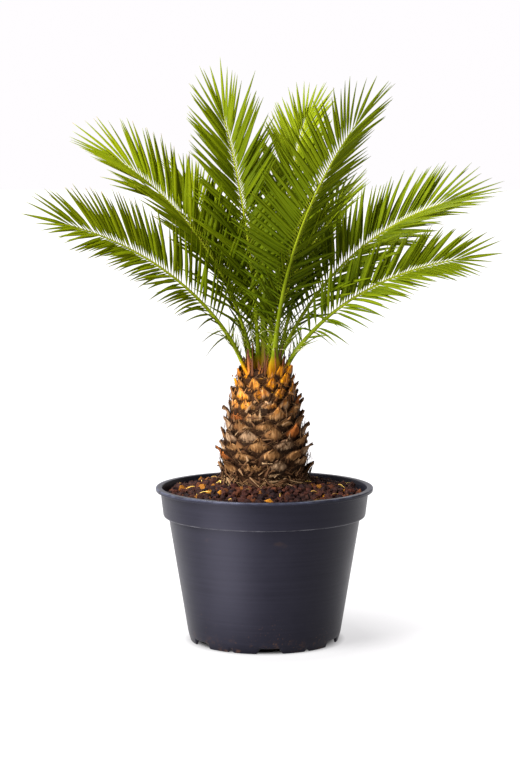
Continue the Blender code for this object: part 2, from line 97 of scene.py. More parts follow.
def length_of(vectors):
    """Length of each vector of an array, shaped so that it divides them."""
    return np.linalg.norm(vectors, axis=-1, keepdims=True)


def rounded(corners, radii, steps=4):
    """An outline of (radius, height) corners with every corner but the ends rounded.

    Each corner becomes a parabola. It leaves the side before the corner, and meets the side after it, at the
    rounding's length from the corner, or at 45% of the shorter side if that is less.
    """
    before, after = corners[:-2] - corners[1:-1], corners[2:] - corners[1:-1]
    reach_before = length_of(before)
    reach_after = length_of(after)
    cut = np.minimum(np.asarray(radii)[:, None], 0.45 * np.minimum(reach_before, reach_after))
    start, end = corners[1:-1] + before / reach_before * cut, corners[1:-1] + after / reach_after * cut
    t = np.linspace(0, 1, steps)[None, :, None]
    arcs = (1 - t) ** 2 * start[:, None] + 2 * t * (1 - t) * corners[1:-1, None] + t**2 * end[:, None]
    return np.concatenate([corners[:1], arcs.reshape(-1, 2), corners[-1:]])


def spin_faces(rings, sides):
    """Faces of a turned skin: quads between the rings, and a fan from each of the two last points."""
    index = np.arange(rings * sides).reshape(rings, sides)
    following = np.roll(index, -1, 1)
    quads = np.stack([index[:-1], index[1:], following[1:], following[:-1]], -1).reshape(-1, 4)
    first, last = rings * sides, rings * sides + 1
    top = np.stack([np.full(sides, first), index[0], following[0]], -1)
    bottom = np.stack([np.full(sides, last), following[-1], index[-1]], -1)
    return [quads, top, bottom]


def foot_cut(azimuth):
    """Height of the gap under the foot ring: a trapezoid at each notch and a small triangle at each nick."""
    height = np.zeros_like(azimuth)
    for beyond, wide, narrow, tall in ((0, 0.047, 0.034, 0.0095), (NICKS_BEYOND, 0.011, 0.001, 0.0048)):
        turn = azimuth[:, None] - np.radians(NOTCH_AZIMUTHS + beyond)
        arc = FOOT_RADIUS * abs((turn + np.pi) % (2 * np.pi) - np.pi).min(1)
        height = np.maximum(height, tall * np.clip((wide / 2 - arc) / (wide / 2 - narrow / 2), 0, 1))
    return height


def pot_wall_radius(z):
    """Inside of the pot's wall, a straight taper from the heel to the band."""
    return np.interp(z, (HEEL_Z, BAND_FOOT_Z), (BODY_FOOT_RADIUS, BODY_TOP_RADIUS)) - WALL


pot_corners = np.array([
    (0.0, WALL), (0.088, WALL), (0.100, CHANNEL_Z + WALL), (pot_wall_radius(HEEL_Z), CHANNEL_Z + WALL),
    (pot_wall_radius(BAND_FOOT_Z), 0.232), (0.1825, 0.235), (0.1885, POT_HEIGHT), (LIP_RADIUS, POT_HEIGHT),
    (0.1995, 0.2770), (0.1915, 0.2770), (0.1857, 0.2300), (BODY_TOP_RADIUS, BAND_FOOT_Z),
    (BODY_FOOT_RADIUS, HEEL_Z), (FOOT_RADIUS, 0.0), (FOOT_RADIUS - WALL, 0.0),
    (FOOT_RADIUS - WALL, CHANNEL_Z), (0.100, CHANNEL_Z), (0.088, 0.0), (0.0, 0.0),
])
pot_roundings = np.array([2, 2, 3, 3, 2, 1.5, 2.6, 1.6, 1, 4.5, 0.8, 4, 0.7, 0.7, 1, 2, 1]) / 1000
pot_outline = rounded(pot_corners, pot_roundings, 5)
azimuth = np.arange(POT_SIDES) * 2 * np.pi / POT_SIDES
radius, height = pot_outline[1:-1, 0][:, None], pot_outline[1:-1, 1][:, None]
in_foot = (radius > 0.132) & (height < 0.0100)
height = np.where(in_foot, np.maximum(height, foot_cut(azimuth)), height)
pot_points = around(radius, azimuth, height).reshape(-1, 3)
pot_points = np.concatenate([pot_points, [(0, 0, WALL), (0, 0, 0)]])
pot = lay_mesh("pot_shell", pot_points, spin_faces(len(pot_outline) - 2, POT_SIDES))

drills = bpy.data.collections.new("drain_drills")
for notch in NOTCH_AZIMUTHS:
    turn = math.radians(notch)
    middle = (DRAINS_FROM_AXIS * math.cos(turn), DRAINS_FROM_AXIS * math.sin(turn), CHANNEL_Z + WALL / 2)
    bpy.ops.mesh.primitive_cylinder_add(vertices=32, radius=DRAIN_RADIUS, depth=0.018, location=middle)
    drill = bpy.context.object
    drill.users_collection[0].objects.unlink(drill)
    drills.objects.link(drill)
bpy.context.scene.collection.children.link(drills)
drain_cut = pot.modifiers.new("drains", "BOOLEAN")
drain_cut.operand_type, drain_cut.collection, drain_cut.operation = "COLLECTION", drills, "DIFFERENCE"
pot_mesh = bpy.data.meshes.new_from_object(pot.evaluated_get(bpy.context.evaluated_depsgraph_get()))
pot.modifiers.clear()
pot.data = pot_mesh
for drill in list(drills.objects):
    bpy.data.objects.remove(drill)
bpy.data.collections.remove(drills)


def wire(tree, kind, inputs=(), **settings):
    """One shader node with its settings, and with its inputs given values or joined to other sockets."""
    made = tree.nodes.new("ShaderNode" + kind)
    for name, value in settings.items():
        setattr(made, name, value)
    for name, value in dict(inputs).items():
        if isinstance(value, bpy.types.NodeSocket):
            tree.links.new(value, made.inputs[name])
        else:
            made.inputs[name].default_value = value
    return made


def ramp(share, stops):
    """Colour for a share from 0 to 1, from stops of (share, red, green, blue)."""
    made = wire(share.id_data, "ValToRGB", {"Fac": share})
    band = made.color_ramp.elements
    while len(band) < len(stops):
        band.new(0.5)
    for stop, (at, *colour) in zip(band, stops):
        stop.position, stop.color = at, (*colour, 1)
    return made.outputs["Color"]


def finish_for(name, *pieces, **uniform):
    """The node tree of a new material on the pieces, with the uniform values of its shader."""
    material = bpy.data.materials.new(name)
    material.use_nodes = True
    tree = material.node_tree
    for socket, value in uniform.items():
        tree.nodes["Principled BSDF"].inputs[socket.replace("_", " ")].default_value = value
    for piece in pieces:
        piece.data.materials.append(material)
    return tree


def paint(tree, bumps=None, depth=0.0, strength=1.0, **varied):
    """What varies over a piece: bumps of that depth in metres, and the shader's values by their names."""
    if bumps is not None:
        relief = {"Height": bumps, "Distance": depth, "Strength": strength}
        varied["Normal"] = wire(tree, "Bump", relief).outputs[0]
    for socket, value in varied.items():
        tree.links.new(value, tree.nodes["Principled BSDF"].inputs[socket.replace("_", " ")])


def grain(tree, scale, stretch=(1, 1, 1), detail=4, roughness=0.6):
    """Noise from 0 to 1 on the piece's own coordinates, stretched along an axis by a small factor there."""
    placed = wire(tree, "Mapping", {"Vector": wire(tree, "TexCoord").outputs["Object"], "Scale": stretch})
    settings = {"Vector": placed.outputs[0], "Scale": scale, "Detail": detail, "Roughness": roughness}
    return wire(tree, "TexNoise", settings).outputs["Fac"]


def between(value, low, high, to_low=0.0, to_high=1.0):
    """How far a value lies from low to high, from 0 to 1 or between two other values."""
    ends = {"From Min": low, "From Max": high, "To Min": to_low, "To Max": to_high}
    return wire(value.id_data, "MapRange", {"Value": value, **ends}).outputs["Result"]


def coated(colour, *coats):
    """A colour under coats, each mixed over the last: a share, or between's numbers for it, and a colour."""
    for *share, coat in coats:
        share = between(*share) if share[1:] else share[0]
        under, over = ((*value, 1) if isinstance(value, tuple) else value for value in (colour, coat))
        colour = wire(share.id_data, "Mix", {0: share, 6: under, 7: over}, data_type="RGBA").outputs[2]
    return colour


def reckon(how, first, *others):
    """Numbers joined one after the other by an operation, such as ADD or MULTIPLY."""
    for other in others:
        first = wire(first.id_data, "Math", {0: first, 1: other}, operation=how).outputs[0]
    return first


def times(*factors):
    """Numbers multiplied together."""
    return reckon("MULTIPLY", *factors)


def height_of(tree):
    """How high a point of the piece lies, in metres."""
    return wire(tree, "SeparateXYZ", {"Vector": wire(tree, "TexCoord").outputs["Object"]}).outputs["Z"]


def distance_from_axis(tree):
    """How far a point of the piece stands from the pot's axis, in metres."""
    where = wire(tree, "TexCoord").outputs["Object"]
    flat = wire(tree, "VectorMath", {0: where, 1: (1, 1, 0)}, operation="MULTIPLY").outputs["Vector"]
    return wire(tree, "VectorMath", {0: flat}, operation="LENGTH").outputs["Value"]


satin = finish_for("nursery_pot_plastic", pot, Specular_IOR_Level=0.14, Specular_Tint=(0.82, 0.80, 1.0, 1))
streaks, mottle = grain(satin, 5, (0.6, 0.6, 60), 5), grain(satin, 9, detail=5)
above_floor, from_axis = height_of(satin), distance_from_axis(satin)
specks = times(
    between(grain(satin, 330, detail=1), 0.66, 0.74),
    between(grain(satin, 22, detail=3), 0.45, 0.65), between(above_floor, 0.085, 0.0), 0.6,
)
splash = between(grain(satin, 55, detail=6), 0.52, 0.74, 0, 0.55)
splash = times(splash, between(above_floor, 0.028, 0.0))
stain = times(
    between(grain(satin, 16, (1, 1, 2.2)), 0.60, 0.72, 0, 0.6),
    between(above_floor, 0.196, 0.226), between(above_floor, 0.2305, 0.2285),
)
# Painted highlights: pale lines along the lip's rounded outer edge and along the band's lower edge, where
# they would catch the light, broken up by noise.
highlight_breakup = between(grain(satin, 45, (1, 1, 3), 6), 0.38, 0.62, 0.10, 0.9)
lip_highlight = between(above_floor, 0.2790, 0.2832)
lip_highlight = times(highlight_breakup, lip_highlight, between(from_axis, 0.1955, 0.1985))
band_highlight = between(above_floor, 0.2326, 0.2308)
band_highlight = times(highlight_breakup, band_highlight, between(above_floor, 0.2292, 0.2300))
slate = coated(
    ramp(streaks, [(0.3, 0.0050, 0.0048, 0.0082), (0.7, 0.0085, 0.0082, 0.0130)]),
    (mottle, 0.35, 0.7, 0, 0.5, (0.0115, 0.0110, 0.0170)),
    (specks, (0.16, 0.080, 0.035)), (splash, (0.12, 0.055, 0.022)), (stain, (0.060, 0.034, 0.018)),
    # Painted highlights on the lip's edge and on the band's lower edge.
    (lip_highlight, (0.045, 0.050, 0.075)), (band_highlight, (0.090, 0.088, 0.100)),
)
paint(satin, streaks, 0.00035, 0.6, Base_Color=slate, Roughness=between(mottle, 0.3, 0.7, 0.31, 0.42))
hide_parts("pot")
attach(pot, "root")

# The potting soil: moist black peat with bark crumbs, filled in round the palm's root ball. It ends 26 mm
# below the lip at the wall, is banked up to the trunk, and lies hidden under the stones.
soil = frame["nodes"]["potting_soil"]
soil.data.materials.clear()
peat = finish_for("moist_peat", soil, Roughness=0.95, Specular_IOR_Level=0.1)
crumbs = grain(peat, 160, detail=6, roughness=0.7)
crumb_colours = [(0.3, 0.010, 0.006, 0.004), (0.6, 0.045, 0.026, 0.015), (0.75, 0.11, 0.06, 0.03)]
paint(peat, crumbs, 0.003, Base_Color=ramp(crumbs, crumb_colours))

# The lava mulch: broken, sieved lava of 9 to 15 mm, poured loose on the soil to hold its moisture. Two layers
# of rough angular stones lie on a bed of crushed lava, maroon and brown with a few rusty and ochre ones.
BED_EDGE_Z, BED_MIDDLE_Z, BED_INNER, BED_OUTER = 0.2668, 0.2943, 0.0775, 0.1835
SOIL_RADIUS, ROOT_BALL_RADIUS = 0.1822, 0.055
GOLDEN_ANGLE = 2.39996
chance = np.random.default_rng(11)


def banked(radius, edge_z=BED_EDGE_Z, middle_z=BED_MIDDLE_Z):
    """Height of the bed, or of another surface that climbs straight from the pot's wall to the root ball."""
    climbed = np.clip((SOIL_RADIUS - radius) / (SOIL_RADIUS - ROOT_BALL_RADIUS), 0, 1)
    return edge_z + (middle_z - edge_z) * climbed


def ball_faces(count, rings, sides):
    """Faces of many balls, each of rings between two poles: quads, and a fan at each pole."""
    size = rings * sides + 2
    index = np.arange(rings * sides).reshape(rings, sides)
    following = np.roll(index, -1, 1)
    quads = np.stack([index[:-1], following[:-1], following[1:], index[1:]], -1).reshape(-1, 4)
    foot = np.stack([np.full(sides, size - 2), following[0], index[0]], -1)
    head = np.stack([np.full(sides, size - 1), index[-1], following[-1]], -1)
    start = np.arange(count)[:, None, None] * size
    return [(start + quads).reshape(-1, 4), (start + foot).reshape(-1, 3), (start + head).reshape(-1, 3)]


def broken_stones(centres, sizes, rings=3, sides=6):
    """Broken stones: balls whose every point is drawn in or out by chance, flattened and turned by chance.

    A point is centre + turn * (size * (1, 0.8, 0.62) * (1 + chance) * direction), with the three axes of the
    turn worked out from two directions drawn at random.
    """
    count = len(centres)
    climb = np.linspace(-1, 1, rings + 2)[1:-1] * np.pi / 2
    turn = np.arange(sides) * 2 * np.pi / sides
    ball = np.stack([
        (np.cos(climb)[:, None] * np.cos(turn)).ravel(),
        (np.cos(climb)[:, None] * np.sin(turn)).ravel(),
        (np.sin(climb)[:, None] + 0 * turn).ravel(),
    ], -1)
    ball = np.concatenate([ball, [(0, 0, -1), (0, 0, 1)]])
    rough = chance.uniform(0.80, 1.16, (count, len(ball), 1)) * np.array((1, 0.80, 0.62))
    rough = rough * chance.uniform(0.85, 1.15, (count, 1, 3))
    first, second = chance.normal(size=(2, count, 3))
    first /= length_of(first)
    second -= (second * first).sum(1, keepdims=True) * first
    second /= length_of(second)
    axes = np.stack([first, second, np.cross(first, second)], 1)
    points = (ball * rough * sizes[:, None, None]) @ axes + centres[:, None]
    return points, ball_faces(count, rings, sides)


def scattered_on_bed(count, above, inner=0.0805, outer=0.1745):
    """Places so far above the bed, spread evenly over its ring by the golden angle and shaken a little."""
    nth = np.arange(count) + 0.5
    radius = np.sqrt(inner**2 + (outer**2 - inner**2) * nth / count) + chance.uniform(-0.002, 0.002, count)
    turn = nth * GOLDEN_ANGLE + chance.uniform(-0.05, 0.05, count)
    return around(radius, turn, banked(radius) + above)


def give(piece, shape, **values):
    """Named numbers, spread to that shape, that are kept on a piece's points for its material to read."""
    for name, numbers in values.items():
        kept = piece.data.attributes.new(name, "FLOAT", "POINT")
        kept.data.foreach_set("value", np.broadcast_to(numbers, shape).astype(np.float32).ravel())


def given(tree, name):
    """A named number from a piece's points."""
    return wire(tree, "Attribute", attribute_name=name).outputs["Fac"]


bed_rings, bed_sides = 26, 300
reach = np.linspace(BED_INNER, BED_OUTER, bed_rings)[:, None]
turn = np.arange(bed_sides) * 2 * np.pi / bed_sides
crush = chance.uniform(-0.0020, 0.0022, (bed_rings, bed_sides))
bed_z = banked(reach) - 0.001 + crush
under = reach[[-1, 0]]
bed_under = around(under, turn, banked(under, 0.2580, 0.2880) + 0.0006)
bed_index = np.arange((bed_rings + 2) * bed_sides).reshape(-1, bed_sides)
bed_index = np.concatenate([bed_index, bed_index[:1]])
bed_next = np.roll(bed_index, -1, 1)
bed_quads = np.stack([bed_index[:-1], bed_index[1:], bed_next[1:], bed_next[:-1]], -1).reshape(-1, 4)
bed_points = np.concatenate([around(reach, turn, bed_z), bed_under])
bed = lay_mesh("lava_bed", bed_points, [bed_quads], smooth=False)
crushed = finish_for("crushed_lava", bed, Roughness=0.92, Specular_IOR_Level=0.06)
grit = grain(crushed, 420, detail=5, roughness=0.7)
grit_colours = [(0.30, 0.004, 0.0025, 0.002), (0.55, 0.026, 0.009, 0.006), (0.72, 0.10, 0.035, 0.014)]
paint(crushed, grit, 0.002, Base_Color=ramp(grit, grit_colours))
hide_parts("lava_mulch")

LOW_STONES, HIGH_STONES = 640, 520
OCHRE_TINT, OCHRE_STONES = 0.985, (
    (-0.100, -0.085, 0.0100), (-0.078, -0.096, 0.0080), (0.012, -0.160, 0.0095), (0.108, -0.085, 0.0070),
)
stone_places = np.concatenate([scattered_on_bed(LOW_STONES, 0.0010), scattered_on_bed(HIGH_STONES, 0.0048)])
stone_places[:, :2] *= 1 + chance.uniform(-0.01, 0.01, (len(stone_places), 1))
stone_sizes = 0.0054 + 0.0048 * chance.uniform(0, 1, len(stone_places)) ** 1.4
stone_tints = chance.uniform(0, 0.97, len(stone_places))
for x, y, size in OCHRE_STONES:
    away = np.hypot(stone_places[LOW_STONES:, 0] - x, stone_places[LOW_STONES:, 1] - y)
    stone = LOW_STONES + np.argmin(away)
    stone_sizes[stone], stone_tints[stone] = size, OCHRE_TINT
stone_points, stone_faces = broken_stones(stone_places, stone_sizes)
reach = length_of(stone_points[..., :2])
stone_points[..., :2] *= np.clip(reach, 0.0765, 0.1845) / reach
stones = lay_mesh("lava_stones", stone_points, stone_faces, smooth=False)
give(stones, stone_points.shape[:2], tint=stone_tints[:, None])
lava = finish_for("broken_lava", stones, Roughness=0.78, Specular_IOR_Level=0.08)
pores, dust = grain(lava, 700, roughness=0.7), grain(lava, 90, detail=3)
lava_colour = coated(
    ramp(given(lava, "tint"), [
        (0.00, 0.007, 0.0032, 0.0040), (0.30, 0.016, 0.0058, 0.0052), (0.60, 0.031, 0.0098, 0.0068),
        (0.84, 0.052, 0.0135, 0.0080), (0.94, 0.10, 0.030, 0.009), (0.975, 0.34, 0.13, 0.008),
        (1.0, 0.44, 0.18, 0.012),
    ]),
    (pores, 0.58, 0.40, 0, 0.75, (0.005, 0.003, 0.003)),
    (dust, 0.5, 0.75, 0, 0.4, (0.085, 0.030, 0.015)),
)
paint(lava, pores, 0.0009, Base_Color=lava_colour)


def capped_tubes(sections):
    """Points and faces of closed tubes from sections, an array of (tubes, stations, ring, 3), the ring even.

    A ring runs anticlockwise as seen from where the tube is heading. Quads join each ring to the next, and
    each end is closed by quads across its ring.
    """
    count, stations, ring = sections.shape[:3]
    index = np.arange(stations * ring).reshape(stations, ring)
    following = np.roll(index, -1, 1)
    sides = np.stack([index[:-1], following[:-1], following[1:], index[1:]], -1).reshape(-1, 4)
    k = np.arange(ring // 2 - 1)
    lid = np.stack([k, k + 1, ring - 2 - k, ring - 1 - k], -1)
    quads = np.concatenate([sides, lid[:, ::-1], lid + (stations - 1) * ring])
    starts = np.arange(count)[:, None, None] * stations * ring
    return sections.reshape(-1, 3), [(starts + quads).reshape(-1, 4)]


def round_strands(paths, radii, ring=4):
    """Sections of round strands along paths of (strands, stations, 3), with a radius at each station.

    At each station two directions square to the path are worked out, and the ring is
    path + radius * (cos * one + sin * other).
    """
    heading = np.gradient(paths, axis=1)
    heading /= length_of(heading) + 1e-12
    helper = np.where(abs(heading[..., 2:]) < 0.9, (0.0, 0.0, 1.0), (1.0, 0.0, 0.0))
    one = np.cross(helper, heading)
    one /= length_of(one)
    other = np.cross(heading, one)
    turn = np.arange(ring) * 2 * np.pi / ring
    spread = np.cos(turn)[:, None] * one[:, :, None] + np.sin(turn)[:, None] * other[:, :, None]
    return paths[:, :, None] + spread * np.asarray(radii)[..., None, None]


def each(count, low=0, high=1):
    """A number from low to high drawn for each of so many pieces, as a column."""
    return chance.uniform(low, high, (count, 1))


def lay_tubes(name, sections, **looks):
    """A piece of closed tubes with named numbers on its points."""
    piece = lay_mesh(name, *capped_tubes(sections))
    give(piece, sections.shape[:3], **looks)
    return piece


straw_count = 22
straw_start = scattered_on_bed(straw_count, 0.0095)
lie = chance.uniform(0, 2 * np.pi, straw_count)
bend = chance.uniform(-1.2, 1.2, straw_count)
run = np.linspace(0, 1, 7)
lie = lie[:, None] + bend[:, None] * run
long = chance.uniform(0.012, 0.034, straw_count)[:, None] / 6
straw_path = straw_start[:, None] + np.cumsum(around(long, lie, 0.0), 1)
reach = np.linalg.norm(straw_path[..., :2], axis=-1)
straw_path[..., 2] = banked(reach) + 0.0085 + 0.0025 * np.sin(5 * run)
straw_path[..., :2] *= (np.clip(reach, 0.080, 0.181) / reach)[..., None]
straw_thick = each(straw_count, 0.0005, 0.0013) * (1 - 0.6 * run**2)
straw = round_strands(straw_path, straw_thick)
straw_bits = lay_tubes("straw_bits", straw, tint=each(straw_count)[..., None])
dry_straw = finish_for("dry_straw", straw_bits, Roughness=0.6, Specular_IOR_Level=0.1)
straw_colours = [(0.0, 0.16, 0.085, 0.025), (0.5, 0.42, 0.25, 0.05), (1.0, 0.66, 0.47, 0.11)]
straw_colour = ramp(given(dry_straw, "tint"), straw_colours)
paint(dry_straw, grain(dry_straw, 900), 0.0004, Base_Color=straw_colour)

for piece in (bed, stones, straw_bits):
    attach(piece, "root")

# The trunk: a short young stem that doesn't show. It is wrapped in rows of trimmed leaf bases, dry stubs that
# each cover the foot of two above, bound by dark fibre, which is made nearly black partly as painted shade in
# the gaps. Towards the crown they are fresher, orange and waxy.
COLLAR_Z, CROWN_Z = 0.299, 0.497
ROW_HEIGHT = (CROWN_Z - COLLAR_Z) / 10
STUBS_PER_ROW, STUB_ROWS, STUB_TWIST, POINTS_ACROSS = 10, 10, 0.60, 13
CORE_HEIGHTS = (0.299, 0.340, 0.370, 0.400, 0.440, 0.470, 0.497, 0.520, 0.545)
CORE_RADII = (0.0730, 0.0735, 0.0700, 0.0640, 0.0565, 0.0495, 0.0450, 0.0390, 0.0300)


def core_radius(z):
    """Radius of the stem inside the leaf bases."""
    return np.interp(z, CORE_HEIGHTS, CORE_RADII)


def eased(value, low, high):
    """How far a value lies from low to high, from 0 to 1, with a soft start and end."""
    reached = np.clip((np.asarray(value) - low) / (high - low), 0, 1)
    return reached * reached * (3 - 2 * reached)


ROOT_BALL_Z, CORE_TOP_Z = 0.2003, 0.4995
core_z = np.append([ROOT_BALL_Z, 0.2400, 0.2886, 0.2850, 0.2930], np.linspace(COLLAR_Z, CORE_TOP_Z, 60))
core_r = np.append([ROOT_BALL_RADIUS] * 3 + [0.0765, 0.0770], core_radius(core_z[5:]))
core_r = core_r - 0.0090 * eased(core_z, 0.462, CORE_TOP_Z)
core_sides = 200
lumps = chance.uniform(-0.0016, 0.0012, (len(core_z), core_sides)) * eased(core_z, 0.284, 0.30)[:, None]
turn = np.arange(core_sides) * 2 * np.pi / core_sides
core_points = around(core_r[:, None] + lumps, turn, core_z[:, None]).reshape(-1, 3)
core_points = np.concatenate([core_points, [(0, 0, ROOT_BALL_Z), (0, 0, CORE_TOP_Z + 0.0035)]])
core_faces = [group[:, ::-1] for group in spin_faces(len(core_z), core_sides)]
core = lay_mesh("stem_core", core_points, core_faces)

row = np.repeat(np.arange(STUB_ROWS), STUBS_PER_ROW)
nth = np.tile(np.arange(STUBS_PER_ROW), STUB_ROWS)
stub_count = len(row)
drawn = np.random.default_rng(21).uniform((0.75, -0.06), (1.15, 0.06), (stub_count, 2))
lift, skew = drawn[:, :1], drawn[:, 1:] + chance.normal(0, 0.05, (stub_count, 1))
crownward = np.clip((row - 5.5) / 2.5, 0, 1)[:, None]
stub_width = 2 * np.pi / STUBS_PER_ROW
stub_reach = (0.0195 - 0.0080 * np.minimum(row, 8) / 8)[:, None]
along = np.linspace(0, 1, 18)
cut = np.where(each(stub_count) < 0.25, each(stub_count, 0.78, 0.9), 1.0)
worn = each(stub_count)
top_cut = np.where(worn < 0.65, 0.20 + 0.5 * worn, 0.60 + 0.4 * worn)
cut = np.where(row[:, None] == STUB_ROWS - 1, top_cut, cut)
grown = along * cut
climb = (nth[:, None] / STUBS_PER_ROW - 0.5) + chance.normal(0, 0.13, (stub_count, 1))
low_z, mid_z, top_z = (COLLAR_Z + ROW_HEIGHT * (row[:, None] + climb + k) for k in (0, 1, 2))
low_r, mid_r = core_radius(low_z) - 0.003, core_radius(mid_z) + 0.34 * stub_reach
tip_r = core_radius(top_z) + lift * stub_reach
mid_z, tip_z = mid_z - 0.05 * ROW_HEIGHT, top_z + each(stub_count, -0.12, 0.22) * ROW_HEIGHT
hook = each(stub_count, 0.000, 0.0050) * (1 - 0.7 * crownward)
# A parabola through three points: the first at 0, the middle one at half way and the tip at 1.
low_share, mid_share = (1 - grown) * (1 - 2 * grown), 4 * grown * (1 - grown)
tip_share = grown * (2 * grown - 1)
path_r = low_r * low_share + mid_r * mid_share + tip_r * tip_share + hook * eased(grown, 0.78, 1.0)
path_z = low_z * low_share + mid_z * mid_share + tip_z * tip_share - 0.6 * hook * eased(grown, 0.86, 1.0)
middle = stub_width * (nth + STUB_TWIST * row)[:, None] + chance.normal(0, 0.03, (stub_count, 1))
path_turn = middle + stub_width * (STUB_TWIST - 0.5 + skew * grown) * grown
STUB_PLACES = (0, 0.3, 0.55, 0.68, 0.80, 0.90, 0.96, 1)
STUB_SPREADS = (0.80, 1.02, 1.10, 0.93, 0.62, 0.36, 0.20, 0.08)
spread = np.interp(grown, STUB_PLACES, STUB_SPREADS)
sway = each(stub_count, 0, 2 * np.pi)
spread = spread * (1 + 0.08 * np.sin(9 * along + sway)) * each(stub_count, 0.84, 1.10)
across = np.linspace(-1, 1, POINTS_ACROSS)
fall = np.interp(grown, (0, 0.5, 0.8, 1), (1.0, 0.90, 0.50, 0.20))[..., None]
edge_drop = (path_r - core_radius(path_z) - 0.001)[..., None] * fall * abs(across) ** 1.7
furrow = 0.0006 * np.sin(8 * across + sway[..., None]) + 0.0005 * np.sin(17 * across + 3 * sway[..., None])
turned_up = chance.normal(0, 0.0016, (stub_count, 1, 1)) * across + 0.0016 * abs(across) ** 6
outer_r = path_r[..., None] - edge_drop + furrow + turned_up * eased(along, 0.3, 0.7)[:, None]
thick = (0.0062 * (1 - along[:, None]) ** 0.8 + 0.0013) * (1 - 0.72 * across**2)
fray = chance.uniform(-1, 0.8, (stub_count, 1, POINTS_ACROSS)) * 0.0050
fray = fray * eased(along, 0.70, 1.0)[None, :, None] * (1 - 0.5 * crownward[..., None])
stub_turn = path_turn[..., None] + stub_width / 2 * spread[..., None] * across
stub_z = path_z[..., None] + fray - 0.0035 * (across**2) * (1 - along[:, None])
stub_outer = around(outer_r, stub_turn, stub_z)
stub_inner = around(outer_r - thick, stub_turn, stub_z + 0.15 * thick)
stubs = lay_tubes(
    "leaf_bases", np.concatenate([stub_outer, stub_inner[:, :, ::-1]], 2), reached=grown[..., None],
    aside=abs(np.append(across, across[::-1])), behind=np.repeat((0.0, 1.0), POINTS_ACROSS),
    crownward=(row / (STUB_ROWS - 1))[:, None, None], tint=each(stub_count)[..., None],
)
dry = finish_for("trimmed_leaf_base", stubs, Specular_IOR_Level=0.05)
fibre_lines, patches = grain(dry, 210, (1, 1, 0.16), 5, 0.65), grain(dry, 55, (1, 1, 0.8))
tint, reached, aside = (given(dry, name) for name in ("tint", "reached", "aside"))
tan = [(0.30, 0.090, 0.036, 0.012), (0.50, 0.175, 0.082, 0.029), (0.70, 0.36, 0.195, 0.080)]
grey = [(0.30, 0.085, 0.046, 0.024), (0.50, 0.220, 0.132, 0.072), (0.70, 0.48, 0.325, 0.195)]
gold = [(0.30, 0.200, 0.046, 0.0015), (0.48, 0.440, 0.138, 0.003), (0.70, 0.80, 0.36, 0.012)]
rust = [(0.30, 0.110, 0.026, 0.006), (0.70, 0.270, 0.085, 0.018)]
tan, grey, gold, rust = (ramp(fibre_lines, stops) for stops in (tan, grey, gold, rust))
goldness = reckon("ADD", given(dry, "crownward"), between(patches, 0.3, 0.7, -0.22, 0.22))
goldness = times(between(goldness, 0.60, 0.84), between(tint, 0.06, 0.16, 0.35, 1.0))
ragged = between(fibre_lines, 0.35, 0.65, -0.05, 0.05)
# Painted shade: each stub is made nearly black at its root end, where it lies deep between the stubs round
# it; the edge of that is ragged and lies lower at the stub's middle.
shade_bow = between(aside, 0, 0.8, 0.11, -0.04)
root_shade = reckon("ADD", reached, shade_bow, between(patches, 0.3, 0.7, -0.05, 0.05), ragged)
dry_colour = coated(
    tan, (tint, 0.35, 0.65, grey), (tint, 0.90, 0.92, rust), (goldness, gold),
    (patches, 0.54, 0.66, 0, 0.7, (0.070, 0.024, 0.008)),
    # painted shade at the stub's root end
    (root_shade, 0.66, 0.54, 0, 0.96, (0.012, 0.005, 0.0025)),
    (reckon("ADD", aside, ragged), 0.66, 0.90, 0, 0.88, (0.034, 0.014, 0.006)),
    (reached, 0.94, 1.0, 0, 0.6, (0.080, 0.034, 0.013)),
    (times(given(dry, "behind"), 0.85), (0.030, 0.012, 0.005)),
)
paint(dry, fibre_lines, 0.0018, Base_Color=dry_colour, Roughness=between(goldness, 0, 1, 0.85, 0.38))

# The stem shows only in the gaps between the leaf bases. Its fibre is made nearly black: partly its own dark
# colour, partly painted shade for those deep gaps.
bark = finish_for("stem_fibre", core, Roughness=0.9, Specular_IOR_Level=0.04)
strands = grain(bark, 300, (1, 1, 0.2), 5, 0.7)
fibre_and_shade_colours = [(0.35, 0.005, 0.0025, 0.0015), (0.60, 0.030, 0.013, 0.006), (0.78, 0.13, 0.065, 0.028)]
paint(bark, strands, 0.003, Base_Color=ramp(strands, fibre_and_shade_colours))
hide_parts("trunk")
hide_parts("trunk")

# The shreds: thin, torn strips of leaf sheath, papery and brown, that stand out at all angles between the
# leaf bases. At the trunk's foot they make a skirt that spreads over the gravel.
def ribbons(path, width, thick, face):
    """Sections of flat strips along paths of (strips, stations, 3), of a width at each station.

    face is the direction that each strip's flat side looks in. A ring is the four corners
    path +- width / 2 * (face x heading) +- thick / 2 * face.
    """
    heading = np.gradient(path, axis=1)
    heading /= length_of(heading) + 1e-12
    beside = np.cross(face, heading)
    beside /= length_of(beside) + 1e-12
    flat = np.cross(heading, beside) * thick / 2
    half = beside * (np.asarray(width) / 2)[..., None]
    return np.stack([path + half + flat, path - half + flat, path - half - flat, path + half - flat], 2)


